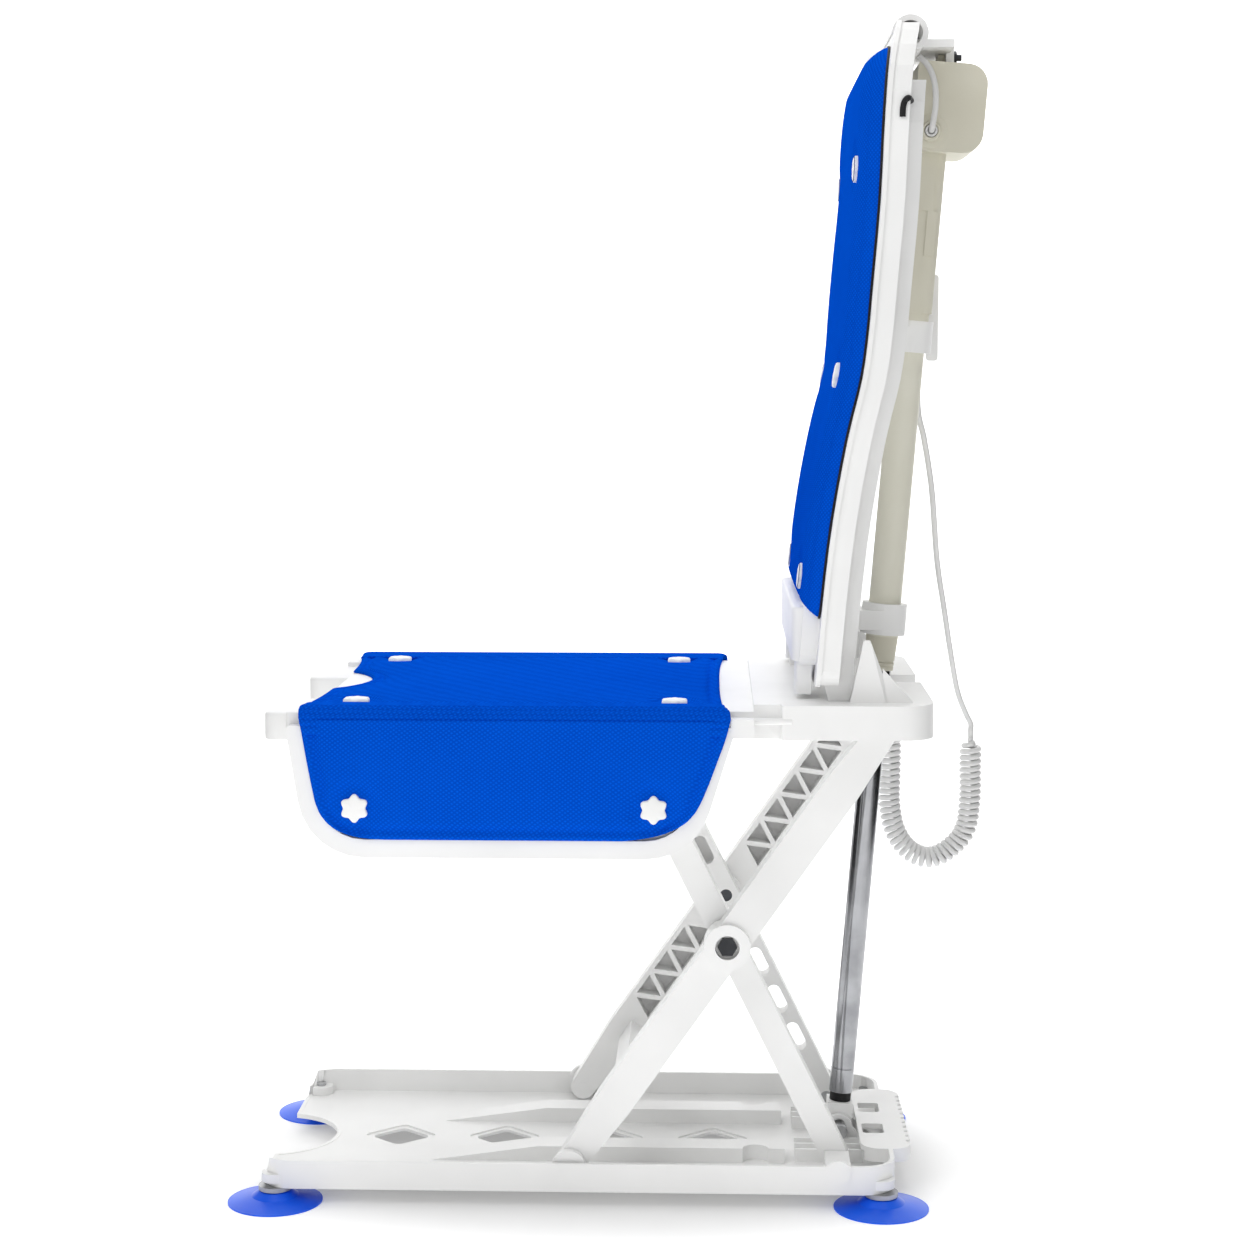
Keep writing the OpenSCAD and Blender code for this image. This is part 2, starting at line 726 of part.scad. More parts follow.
// Scissor legs: each is drawn about the crossing, with its pivot end along +X and its sliding end along -X
module leg_outline(r, w, slide_r) {
    polygon([[-r, -slide_r], [leg_taper - r, -w / 2], [r - leg_taper, -w / 2], [r, -leg_end_r],
        [r, leg_end_r], [r - leg_taper, w / 2], [leg_taper - r, w / 2], [-r, slide_r]]);
    translate([-r, 0]) circle(slide_r);
    translate([r, 0]) circle(leg_end_r);
}
module truss(x0, x1, w) {
    step = truss_pitch / 2;
    h = w / 2 - leg_rim + leg_skin;
    for (i = [0 : floor((x1 - x0) / step) - 2]) {
        up = i % 2 == 0 ? 1 : -1;
        x = x0 + (i + 1) * step;
        mid = [x, -up * h / 3];
        polygon([for (p = [[x - step, -up * h], [x + step, -up * h], [x, up * h]]) mid + (p - mid) * truss_open_share]);
    }
}
module oval_row(x0, x1) for (i = [0 : floor((x1 - x0 - oval_l) / oval_pitch)])
    translate([x0 + oval_l / 2 + i * oval_pitch, 0]) {
        square([oval_l - oval_w, oval_w], center = true);
        for (e = [-1, 1]) translate([e * (oval_l - oval_w) / 2, 0]) circle(oval_w / 2);
    }
module outer_legs_place() translate([cross_x, 0, cross_z]) rotate([0, -outer_a, 0]) children();
module inner_legs_place() translate([cross_x, 0, cross_z]) rotate([0, inner_a, 0]) children();
module outer_leg() outer_legs_place() difference() {
    union() {
        side(outer_leg_y, leg_t) leg_outline(outer_r, outer_leg_w, leg_end_r);
        side(outer_leg_y, leg_t + boss_h) circle(boss_r);
    }
    side(outer_leg_y - cut, leg_t - leg_skin + cut) {
        truss(leg_taper + beam_l - outer_r, -boss_clear, outer_leg_w);
        truss(boss_clear, outer_r - leg_taper / 2, outer_leg_w);
    }
    side(leg_out_y + boss_h - boss_recess_h, boss_recess_h + cut) circle(boss_recess_r);
    cross_pin([0, 0], outer_leg_y - cut, leg_out_y + cut, pivot_d / 2 + run_fit);
    cross_pin([outer_r, 0], outer_leg_y - cut, leg_out_y + cut, pivot_d / 2 + run_fit);
    cross_pin([-outer_r, 0], outer_leg_y - cut, leg_out_y + cut, slider_d / 2 + run_fit);
}
module inner_leg() inner_legs_place() difference() {
    side(inner_leg_y, leg_t) leg_outline(inner_r, inner_leg_w, top_roller_d / 2);
    side(inner_leg_y - cut, leg_t - leg_skin + cut) oval_row(leg_taper / 2 - inner_r, -boss_clear / 2);
    side(inner_leg_y - cut, leg_t + 2 * cut) oval_row(boss_clear / 2, inner_r - leg_taper / 2);
    cross_pin([0, 0], inner_leg_y - cut, inner_leg_y + leg_t + cut, pivot_d / 2 + run_fit);
    cross_pin([inner_r, 0], inner_leg_y - cut, inner_leg_y + leg_t + cut, pivot_d / 2 + run_fit);
    cross_pin([-inner_r, 0], inner_leg_y - cut, inner_leg_y + leg_t + cut, slider_d / 2 + run_fit);
}
module outer_leg_right() color(white) outer_leg();
module outer_leg_left() color(white) mirror([0, 1, 0]) outer_leg();
module inner_leg_right() color(white) inner_leg();
module inner_leg_left() color(white) mirror([0, 1, 0]) inner_leg();
module outer_beam() color(white) outer_legs_place() translate([beam_along - outer_r - beam_l / 2, -outer_leg_y, -beam_h])
    difference() {
        cube([beam_l, 2 * outer_leg_y, beam_h]);
        translate([beam_wall, -cut, -cut]) cube([beam_l - 2 * beam_wall, 2 * (outer_leg_y + cut), beam_h - beam_wall + cut]);
    }
module outer_rollers() color(white) both() {
    cross_pin(roller_at, leg_out_y + roller_gap, leg_out_y + roller_gap + roller_t, roller_r);
    cross_pin(roller_at, outer_leg_y, leg_out_y + roller_gap, slider_d / 2);
}
module centre_bolts() color(black) both() translate([cross_x, 0, cross_z]) rotate([90, 0, 0]) mirror([0, 0, 1]) {
    translate([0, 0, inner_leg_y]) cylinder(d = pivot_d, h = bolt_seat + cut - inner_leg_y);
    translate([0, 0, bolt_seat]) cylinder(r = bolt_head_r, h = bolt_head_h, $fn = 6);
}
module spacer_washers() color(white) both() difference() {
    cross_pin([cross_x, cross_z], inner_leg_y + leg_t, outer_leg_y - seat_gap, boss_r - leg_rim);
    cross_pin([cross_x, cross_z], inner_leg_y, outer_leg_y + cut, pivot_d / 2 + run_fit);
}
module top_axle() color(steel) {
    cross_pin(axle_at, -inner_leg_y, inner_leg_y, axle_d / 2);
    both() cross_pin(axle_at, inner_leg_y, inner_leg_y + leg_t, slider_d / 2);
}
module top_rollers() color(white) both() difference() {
    cross_pin(axle_at, top_roller_y, top_roller_y + top_roller_w, top_roller_d / 2);
    cross_pin(axle_at, top_roller_y - cut, top_roller_y + top_roller_w + cut, axle_d / 2 + run_fit);
}

// Seat frame, with its bays for the flaps and its notch for the drive
module seat_outline(i) polygon(rounded([
    [i - seat_front, i - seat_w / 2, seat_front_r], [-bay_front - i, i - seat_w / 2, bay_r],
    [-bay_front - i, i + bay_edge - seat_w / 2, bay_r], [bay_rear + i, i + bay_edge - seat_w / 2, bay_r],
    [bay_rear + i, i - seat_w / 2, bay_r], [seat_rear - i, i - seat_w / 2, seat_rear_r - i],
    [seat_rear - i, -rear_notch_w / 2 - i, bay_r], [rear_notch_x - i, -rear_notch_w / 2 - i, rear_notch_r],
    [rear_notch_x - i, rear_notch_w / 2 + i, rear_notch_r], [seat_rear - i, rear_notch_w / 2 + i, bay_r],
    [seat_rear - i, seat_w / 2 - i, seat_rear_r - i], [bay_rear + i, seat_w / 2 - i, bay_r],
    [bay_rear + i, seat_w / 2 - bay_edge - i, bay_r], [-bay_front - i, seat_w / 2 - bay_edge - i, bay_r],
    [-bay_front - i, seat_w / 2 - i, bay_r], [i - seat_front, seat_w / 2 - i, seat_front_r]]));
module cheek() {
    side(cheek_y, cheek_t) {
        polygon([[cheek_foot_x, plate_z], [cheek_rear_x, plate_z], [cheek_top_x1, seat_top + cheek_h],
            [cheek_top_x0, seat_top + cheek_h]]);
    }
    side(cheek_y + cheek_t / 2, rib_t) polygon([[cheek_rear_x - rib_t, plate_z], [gusset_x, plate_z],
        [gusset_x, seat_top], [cheek_rear_x - rib_t, seat_top + gusset_h]]);
    for (y = [back_lug_y - cheek_gap - cheek_rib_t, cheek_y])
        side(y, cheek_rib_t) translate([lug_slot_x0, seat_z + rib_t]) square([lug_slot_x1 - lug_slot_x0 - bay_r, plate_z - seat_z]);
}
module seat_lug() side(seat_lug_y, seat_lug_t) {
    translate(seat_pivot) circle(seat_lug_r);
    translate([seat_pivot.x - seat_lug_r, seat_pivot.y]) square([2 * seat_lug_r, plate_z - seat_pivot.y]);
}
// Middle of the seat's plan, up to the ends of its sunk part grown by i
module sunk_part(i) intersection() {
    seat_outline(0);
    translate([-bay_front - i, -seat_w / 2]) square([bay_front + sunk_x + 2 * i, seat_w]);
}
module seat_frame() color(white) difference() {
    union() {
        plan(plate_z, plate_t) seat_outline(0);
        plan(sunk_top - plate_t, plate_t + seat_sink) sunk_part(rim_t);
        plan(seat_z, seat_h) difference() {
            seat_outline(0);
            seat_outline(rim_t);
        }
        both() {
            seat_lug();
            cheek();
            side(stop_y, stop_w) translate([stop_x, plate_z]) square([stop_l, plate_t + stop_h]);
        }
    }
    plan(sunk_top, seat_sink + cut) translate([-bay_front, -seat_w / 2]) square([bay_front + sunk_x, seat_w]);
    both() {
        translate([lug_slot_x0, back_lug_y - cheek_gap, plate_z - cut])
            cube([lug_slot_x1 - lug_slot_x0, back_lug_t + 2 * cheek_gap, plate_t + 2 * cut]);
        cross_pin(seat_pivot, seat_lug_y - cut, seat_lug_y + seat_lug_t + cut, pivot_d / 2 + run_fit);
        cross_pin(back_pivot, back_lug_y - cheek_gap - cheek_rib_t - cut, cheek_y + cheek_rib_t, back_pivot_d / 2 + run_fit);
        for (p = [flap_pin_front, flap_pin_rear]) translate([p[0], hinge_y, hinge_z]) rotate([0, 90, 0])
            cylinder(d = flap_pin_d + 2 * run_fit, h = p[1] - p[0]);
    }
}
module seat_pins() color(steel) both()
    cross_pin(seat_pivot, outer_leg_y + leg_skin, seat_lug_y + seat_lug_t, pivot_d / 2);
module back_pins() color(steel) both()
    cross_pin(back_pivot, back_lug_y - cheek_gap - cheek_rib_t, cheek_y + cheek_rib_t, back_pivot_d / 2);
module flap_pins() color(steel) both() for (p = [flap_pin_front, flap_pin_rear])
    translate([p[0], hinge_y, hinge_z]) rotate([0, 90, 0]) cylinder(d = flap_pin_d, h = p[1] - p[0]);
module pad_plan(i) difference() {
    polygon(box_outline(i - pad_front, i - pad_half, pad_rear - i, pad_half - i, pad_r));
    translate([-pad_front, 0]) circle(pad_notch_r + i);
}
module seat_cover() color(blue) difference() {
    union() {
        plan(sunk_top, seat_pad_t * pad_edge_share) pad_plan(0);
        plan(sunk_top, seat_pad_t) pad_plan(pad_step);
    }
    both() for (x = seat_knob_xs) translate([x, seat_knob_y, sunk_top - cut])
        cylinder(r = knob_out_r + seat_gap, h = seat_pad_t + 2 * cut);
}
module star_knob(h) {
    cylinder(r = knob_r, h = h);
    for (i = [0 : knob_lobes - 1]) rotate(i * 360 / knob_lobes) translate([knob_r, 0, 0]) cylinder(r = knob_lobe_r, h = h);
}
module seat_knobs() color(white) both() for (x = seat_knob_xs)
    translate([x, seat_knob_y, sunk_top]) star_knob(seat_knob_h);

// Side flaps, drawn hanging on the right
// Outline of the flap, drawn in by i on all sides
function flap_end(share, z, i) = (flap_top - z) * share + i * sqrt(1 + share * share);
module flap_outline(i) {
    z0 = flap_low + i;
    z1 = flap_top - i;
    polygon(rounded([[flap_x0 + flap_end(flap_front_share, z1, i), z1, flap_top_r],
        [flap_x1 - flap_end(flap_rear_share, z1, i), z1, flap_top_r],
        [flap_x1 - flap_end(flap_rear_share, z0, i), z0, flap_r - i],
        [flap_x0 + flap_end(flap_front_share, z0, i), z0, flap_r - i]]));
}
module flap() difference() {
    union() {
        side(flap_y, flap_t) difference() {
            flap_outline(0);
            flap_outline(flap_rim);
        }
        side(flap_y, flap_web_t) flap_outline(flap_web_t);
        for (x = knuckle_xs) translate([x, hinge_y, hinge_z]) rotate([0, 90, 0]) cylinder(r = knuckle_r, h = knuckle_l);
        for (x = knuckle_xs) translate([x, hinge_y, hinge_z - knuckle_r]) cube([knuckle_l, flap_y - hinge_y + flap_web_t, knuckle_r]);
        side(hinge_block_y, flap_y + flap_t - hinge_block_y) translate([flap_x1 - hinge_block_l / 3, hinge_z - hinge_block_low])
            square([hinge_block_l + hinge_block_l / 3, hinge_block_low + hinge_block_high]);
    }
    for (x = knuckle_xs) translate([x - cut, hinge_y, hinge_z]) rotate([0, 90, 0])
        cylinder(d = flap_pin_d + 2 * run_fit, h = knuckle_l + 2 * cut);
}
module flap_pad() {
    y0 = flap_y + flap_web_t;
    side(y0, flap_t - flap_web_t + flap_pad_t * pad_edge_share) difference() {
        flap_outline(flap_rim + flap_pad_inset);
        translate([flap_x0, hinge_z - flap_pad_top]) square([flap_l, flap_pad_top]);
    }
    side(y0, flap_t - flap_web_t + flap_pad_t) difference() {
        flap_outline(flap_rim + flap_pad_inset + pad_step);
        translate([flap_x0, hinge_z - flap_pad_top]) square([flap_l, flap_pad_top]);
    }
}
module flap_stars() for (x = flap_knob_xs)
    translate([x, flap_y + flap_t + flap_pad_t, hinge_z - flap_knob_drop]) rotate([-90, 0, 0]) star_knob(knob_h);
module flap_right() color(white) flap();
module flap_left() color(white) mirror([0, 1, 0]) flap();
module flap_cover_right() color(blue) flap_pad();
module flap_cover_left() color(blue) mirror([0, 1, 0]) flap_pad();
module flap_knobs_right() color(white) flap_stars();
module flap_knobs_left() color(white) mirror([0, 1, 0]) flap_stars();

// Backrest: a curved panel with a stepped flange, a rolled lip and a hood over the motor
back_line = curve([for (s = back_shares) [back_foot.x + s[1] * back_sweep, back_foot.y + s[0] * back_h]], spline_steps);
function back_x(z) = lookup(z, [for (p = back_line) [p.y, p.x]]);
// A layer between two set-backs behind the flange's front edge, cut to the outline drawn in by i
module back_layer(x0, x1, i) intersection() {
    side(-back_w, 2 * back_w) polygon(concat([back_line[0] + [x0, -rim_depth]], [for (p = back_line) p + [x0, 0]],
        [back_line[len(back_line) - 1] + [x0, rim_depth], back_line[len(back_line) - 1] + [x1, rim_depth]],
        [for (k = [len(back_line) - 1 : -1 : 0]) back_line[k] + [x1, 0]], [back_line[0] + [x1, -rim_depth]]));
    face(back_foot.x - back_sweep, 3 * back_sweep) back_outline(i);
}
module back_outline(i) {
    w = back_w / 2 - i;
    z0 = back_foot.y + i * back_low_share;
    z1 = back_foot.y + back_h - i;
    polygon(rounded([[-w, z0, back_foot_r], [w, z0, back_foot_r], [w, z1, back_top_r - i], [-w, z1, back_top_r - i]]));
}
module back_flange() difference() {
    union() {
        back_layer(0, flange_t, 0);
        back_layer(flange_t / 2, rim_depth, rim_set);
    }
    back_layer(flange_t, rim_depth + cut, rim_set + rim_w);
    back_layer(-cut, flange_t + 2 * cut, flange_w + wall_w / 2);
}
module back_box() difference() {
    back_layer(-panel_proud, wall_depth, flange_w);
    back_layer(panel_t - panel_proud, wall_depth + cut, flange_w + wall_w);
    intersection() {
        back_layer(flange_t + 2 * cut, wall_depth + 2 * cut, 0);
        translate([back_foot.x, -back_w, back_foot.y + wall_top]) cube([2 * back_sweep, 2 * back_w, back_h]);
    }
}
module back_lip() side(-lip_w / 2, lip_w) difference() {
    translate(lip_at) circle(lip_r);
    translate(lip_at) circle(lip_r - lip_t);
    translate([lip_at.x - lip_r - cut, lip_at.y - lip_r - cut]) square([lip_r + lip_t + cut, lip_r + cut]);
    translate([lip_at.x - lip_r - cut, lip_at.y - lip_r - cut]) square([2 * lip_r + 2 * cut, lip_r - lip_tail + cut]);
}
hood_x0 = back_x(hood_z) + flange_t / 2;
panel_mid = panel_t / 2 - panel_proud;
module hood() {
    side(-hood_w / 2, hood_w) translate([hood_x0, hood_z]) square([hood_x1 - hood_t / 2 - hood_x0, hood_t]);
    side(-head_lug_w, 2 * head_lug_w) translate([hood_x1 - hood_t, hood_z - hood_end_h / 2]) square([hood_t, hood_end_h]);
    both() side(hood_w / 2 - hood_rib_t - cut, hood_rib_t) polygon([[back_x(hood_foot_z) + panel_mid, hood_foot_z],
        [hood_foot_x, hood_foot_z], [hood_foot_x + hood_rib_t, hood_z + hood_t / 2], [hood_x0, hood_z + hood_t / 2],
        [back_x(hood_foot_z + hood_rib_rise) + panel_mid, hood_foot_z + hood_rib_rise]]);
}
module back_shell() color(white) difference() {
    union() {
        back_flange();
        back_box();
        back_lip();
        hood();
        both() side(back_lug_y, back_lug_t) {
            translate(back_pivot) circle(back_lug_r);
            polygon([[back_pivot.x - back_lug_r, back_pivot.y], [back_pivot.x + back_lug_r, back_pivot.y],
                [back_foot.x + wall_depth, back_foot.y + flange_w + back_lug_r],
                [back_foot.x, back_foot.y + flange_w + back_lug_r]]);
        }
    }
    both() cross_pin(back_pivot, back_lug_y - cut, back_lug_y + back_lug_t + cut, back_pivot_d / 2 + run_fit);
    translate([hood_x1 - hood_t - cut, 0, hood_z + hood_t / 2 - hood_end_h / 4]) rotate([0, 90, 0])
        cylinder(d = bolt_d + 2 * run_fit, h = hood_t + 2 * cut);
}

// Padded back cover: rows climb the curve, columns arch across it, and its side edges drape onto the flange
pad_z0 = back_foot.y + pad_foot;
pad_z1 = back_foot.y + back_h - pad_head;
pad_top_r = back_top_r - pad_head;
// Rows lie closer together near the rounded ends
function pad_z(i) = let (t = i / pad_rows) pad_z0 + (pad_z1 - pad_z0) * (t - pad_crowd_share * sin(360 * t));
function pad_low(i) = pad_z(i) - pad_z0;
function pad_high(i) = pad_z1 - pad_z(i);
// How far an arc of radius r draws in an edge at the distance d from its end
function draw_in(r, d) = d < r ? r - sqrt(r * r - (r - d) * (r - d)) : 0;
function pad_half(i) = back_pad_half - draw_in(pad_top_r, pad_high(i)) - draw_in(pad_r, pad_low(i))
    - (i == 0 || i == pad_rows ? cut : 0);
// Share of the full thickness that a row keeps near the ends
function pad_swell(i) = min(1, pad_thin_share + min(pad_low(i), pad_high(i)) / pad_top_r);
function pad_drapes(i, j) = (j == 0 || j == pad_cols) && pad_high(i) > pad_top_r && pad_low(i) > pad_r;
function pad_back_x(z) = back_x(z) - seat_gap - panel_proud;
function pad_front_x(z, v, i) = pad_back_x(z) - pad_rim_t - back_pad_t * pad_swell(i) * (1 - pow(abs(v), pad_arch_power));
function pad_col(j) = sin(90 * (2 * j / pad_cols - 1));
pad_points = concat(
    [for (i = [0 : pad_rows], j = [0 : pad_cols]) let (z = pad_z(i), v = pad_col(j))
        [pad_front_x(z, v, i) + (pad_drapes(i, j) ? panel_proud : 0), v * pad_half(i), z]],
    [for (i = [0 : pad_rows], j = [0 : pad_cols]) let (z = pad_z(i))
        [pad_back_x(z) + (pad_drapes(i, j) ? panel_proud : 0), pad_col(j) * pad_half(i), z]]);
pad_n = (pad_rows + 1) * (pad_cols + 1);
function pad_at(i, j) = i * (pad_cols + 1) + j;
function quad(a, b, c, d) = [[a, b, c], [a, c, d]];
pad_faces = concat(
    [for (i = [0 : pad_rows - 1], j = [0 : pad_cols - 1]) each concat(
        quad(pad_at(i, j), pad_at(i + 1, j), pad_at(i + 1, j + 1), pad_at(i, j + 1)),
        quad(pad_n + pad_at(i, j), pad_n + pad_at(i, j + 1), pad_n + pad_at(i + 1, j + 1), pad_n + pad_at(i + 1, j)))],
    [for (i = [0 : pad_rows - 1]) each concat(
        quad(pad_at(i, 0), pad_n + pad_at(i, 0), pad_n + pad_at(i + 1, 0), pad_at(i + 1, 0)),
        quad(pad_at(i, pad_cols), pad_at(i + 1, pad_cols), pad_n + pad_at(i + 1, pad_cols), pad_n + pad_at(i, pad_cols)))],
    [for (j = [0 : pad_cols - 1]) each concat(
        quad(pad_at(0, j), pad_at(0, j + 1), pad_n + pad_at(0, j + 1), pad_n + pad_at(0, j)),
        quad(pad_at(pad_rows, j), pad_n + pad_at(pad_rows, j), pad_n + pad_at(pad_rows, j + 1), pad_at(pad_rows, j + 1)))]);
module back_cover() color(blue) polyhedron(pad_points, pad_faces);
module back_knobs() color(white) both() for (s = back_knob_shares) {
    z = back_foot.y + s * back_h;
    v = back_knob_y / back_pad_half;
    slope = atan(back_pad_t * pad_arch_power * pow(v, pad_arch_power - 1) / back_pad_half);
    lean = atan((back_x(z + knob_r) - back_x(z - knob_r)) / (2 * knob_r));
    translate([pad_front_x(z, v, pad_rows / 2) - knob_lift, back_knob_y, z])
        rotate([0, 0, -slope]) rotate([0, lean - 90, 0]) star_knob(knob_h);
}

// Drive: clamps, guide tube, casing and motor head on the backrest
module clamp_ring(s) difference() {
    on_axis(s) cylinder(r = clamp_r, h = clamp_l);
    on_axis(s - cut) cylinder(d = tube_d + 2 * run_fit, h = clamp_l + 2 * cut);
}
module front_half(s, gap) on_axis(s - cut) translate([-2 * clamp_r, -2 * clamp_r, 0])
    cube([2 * clamp_r - gap, 4 * clamp_r, clamp_l + 2 * cut]);
module clamp_arm(s) {
    z = foot_z + (s + clamp_l / 2) * cos(tilt);
    axis_x = foot_x + (s + clamp_l / 2) * sin(tilt);
    difference() {
        side(-clamp_arm_w / 2, clamp_arm_w) polygon([for (e = [-1, 1]) [back_x(z + e * clamp_arm_l / 2) - panel_proud + panel_t
            + seat_gap, z + e * clamp_arm_l / 2], [axis_x, z + clamp_arm_l / 2], [axis_x, z - clamp_arm_l / 2]]);
        on_axis(s - cut) cylinder(d = tube_d + 2 * run_fit, h = clamp_l + 2 * cut);
        on_axis(s - cut) translate([-clip_gap, -2 * clamp_r, 0]) cube([2 * clamp_r, 4 * clamp_r, clamp_l + 2 * cut]);
    }
}
module clamp(s) color(white) {
    intersection() {
        clamp_ring(s);
        front_half(s, clip_gap);
    }
    clamp_arm(s);
}
module clamp_cap(s) color(white) difference() {
    clamp_ring(s);
    front_half(s, clip_gap);
}
module lower_clamp() clamp(clamp_low_s);
module upper_clamp() clamp(clamp_high_s);
module cord_hook() color(white) difference() {
    union() {
        translate([hook_x0, hook_block_y, hook_block_z]) cube([hook_block_l, hook_y + hook_t - hook_block_y, hook_block_h]);
        side(hook_y, hook_t) {
            translate([hook_x0, hook_block_z]) square([hook_x1 - hook_x0, hook_block_h]);
            polygon(box_outline(hook_x1 - hook_w, hook_low, hook_x1, hook_high, hook_t));
        }
    }
    on_axis(clamp_high_s - clamp_l) cylinder(d = tube_d + 2 * run_fit, h = 3 * clamp_l);
}
module clamp_caps() {
    clamp_cap(clamp_low_s);
    clamp_cap(clamp_high_s);
    cord_hook();
}
module tube_nose() color(ivory) on_axis(nose_s) rotate_extrude() difference() {
    polygon([[rod_d / 2 + run_fit, 0], [nose_mouth_r, 0], [tube_d / 2, nose_l], [rod_d / 2 + run_fit, nose_l]]);
    for (i = [1 : 2]) translate([nose_mouth_r + nose_groove / 2, i * nose_l / 8]) circle(nose_groove);
}
module guide_tube() color(ivory) on_axis(tube_s) difference() {
    cylinder(d = tube_d, h = tube_top_s - tube_s);
    translate([0, 0, -cut]) cylinder(r = tube_d / 2 - tube_wall, h = tube_top_s - tube_s + 2 * cut);
}
module casing_plan(i) polygon(box_outline(i - casing_half, i - casing_w / 2, casing_half - i, casing_w / 2 - i, casing_r));
module drive_casing() color(beige) difference() {
    union() {
        on_axis(casing_s) linear_extrude(casing_top_s - casing_s) casing_plan(0);
        on_axis(casing_s - casing_collar_l) linear_extrude(casing_collar_l) casing_plan(casing_collar_inset);
        both() on_axis(0) translate([0, casing_w / 2 - casing_step, 0]) {
            translate([casing_r - casing_half, 0, casing_step_s]) cube([2 * (casing_half - casing_r), 2 * casing_step, casing_top_s - casing_step_s]);
            translate([casing_tab_x, 0, casing_tab_s]) cube([casing_half - casing_r, 2 * casing_step, casing_step_s - casing_tab_s]);
        }
    }
    on_axis(casing_s - casing_collar_l - cut) cylinder(d = tube_d + 2 * run_fit, h = tube_top_s - casing_s + casing_collar_l + cut);
    on_axis(tube_top_s - cut) cylinder(r = tube_d / 2 - tube_wall, h = casing_top_s - bearing_l - tube_top_s + 2 * cut);
    on_axis(casing_top_s - bearing_l) cylinder(d = bearing_d + 2 * run_fit, h = bearing_l + cut);
}
module head_outline(i) polygon(rounded([[i - casing_half, i, head_front_r], [head_back - i, i, head_r - i],
    [head_back - i, head_h - i, head_r - i], [i - casing_half, head_h - i, head_front_r]]));
module head_block(i) on_axis(head_s) side(i - head_w / 2, head_w - 2 * i) head_outline(i);
module head_half(low) color(beige) difference() {
    intersection() {
        head_block(0);
        on_axis(low ? head_s - cut : head_s + head_split) translate([-head_l, -head_w, 0]) cube([2 * head_l, 2 * head_w, low ? head_split + cut : head_h]);
    }
    head_block(head_wall);
    on_axis(head_s - cut) cylinder(d = screw_d + 2 * run_fit, h = 2 * head_wall);
    if (low) on_axis(head_s) translate([plug_x, head_wall - head_w / 2 + cut, plug_s - head_s]) rotate([90, 0, 0])
        cylinder(r = plug_r / 2 + run_fit, h = head_wall + 2 * cut);
}
module head_lower() head_half(true);
module head_upper() {
    head_half(false);
    color(beige) difference() {
        on_axis(head_s + head_h) translate([hood_lug_x, -head_lug_w / 2, -head_front_r / 2]) cube([head_lug_l, head_lug_w, head_lug_h]);
        head_block(0);
        translate([hood_x1 - hood_t - seat_gap, -head_lug_w, hood_z - hood_end_h]) cube([2 * hood_t, 2 * head_lug_w, 2 * hood_end_h]);
        translate([hood_x0, -head_lug_w, hood_z - seat_gap]) cube([head_l, 2 * head_lug_w, 2 * hood_end_h]);
    }
}
hood_lug_x = hood_x1 - hood_t - head_lug_l - foot_x - (head_s + head_h) * sin(tilt);
module head_bolt() color(black) translate([hood_x1 - hood_t, 0, hood_z + hood_t / 2 - hood_end_h / 4]) rotate([0, 90, 0]) {
    cylinder(d = bolt_d, h = hood_t + bolt_out);
    translate([0, 0, hood_t]) cylinder(r = bolt_d, h = bolt_out / 2, $fn = 6);
}
module screw_bearing() color(steel) on_axis(casing_top_s - bearing_l) difference() {
    cylinder(d = bearing_d, h = bearing_l);
    translate([0, 0, -cut]) cylinder(d = screw_d + 2 * run_fit, h = bearing_l + 2 * cut);
}
module lead_screw() color(steel) on_axis(screw_s) cylinder(d = screw_d, h = wheel_s + 2 * wheel_l - screw_s);
module worm_wheel() color(ivory) on_axis(wheel_s) difference() {
    cylinder(r = wheel_r, h = wheel_l);
    translate([0, 0, -cut]) cylinder(d = screw_d + 2 * run_fit, h = wheel_l + 2 * cut);
}
module worm() color(steel) on_axis(wheel_s + wheel_l / 2) translate([wheel_r + worm_r + seat_gap, worm_l / 2, 0]) rotate([90, 0, 0])
    cylinder(r = worm_r, h = worm_l);
module drive_motor() color(steel) on_axis(wheel_s + wheel_l / 2) translate([wheel_r + worm_r + seat_gap, -worm_l / 2, 0])
    rotate([90, 0, 0]) cylinder(r = motor_r, h = motor_l);
module cord_plug() color(white) difference() {
    on_axis(plug_s) translate([plug_x, -head_w / 2, 0]) {
        rotate([90, 0, 0]) cylinder(r = plug_r, h = plug_l);
        rotate([90, 0, 0]) translate([0, 0, -head_wall]) cylinder(r = plug_r / 2, h = 2 * head_wall);
        translate([0, -plug_l, 0]) rotate([0, -2 * tilt, 0]) {
            translate([0, 0, jumper_bend]) rotate([0, 90, 0]) rotate([180, 0, 0]) rotate_extrude(angle = 90)
                translate([jumper_bend, 0]) circle(d = jumper_d);
            translate([0, -jumper_bend, jumper_bend]) cylinder(d = jumper_d, h = head_h);
        }
    }
    translate([hood_x0, -head_w, lip_at.y - lip_tail - seat_gap]) cube([2 * head_l, 2 * head_w, head_h]);
}
module cord_gland() color(black) on_axis(gland_s) translate([gland_x, gland_y, 0])
    cylinder(r1 = cord_d / 2 + run_fit, r2 = gland_r, h = gland_l);

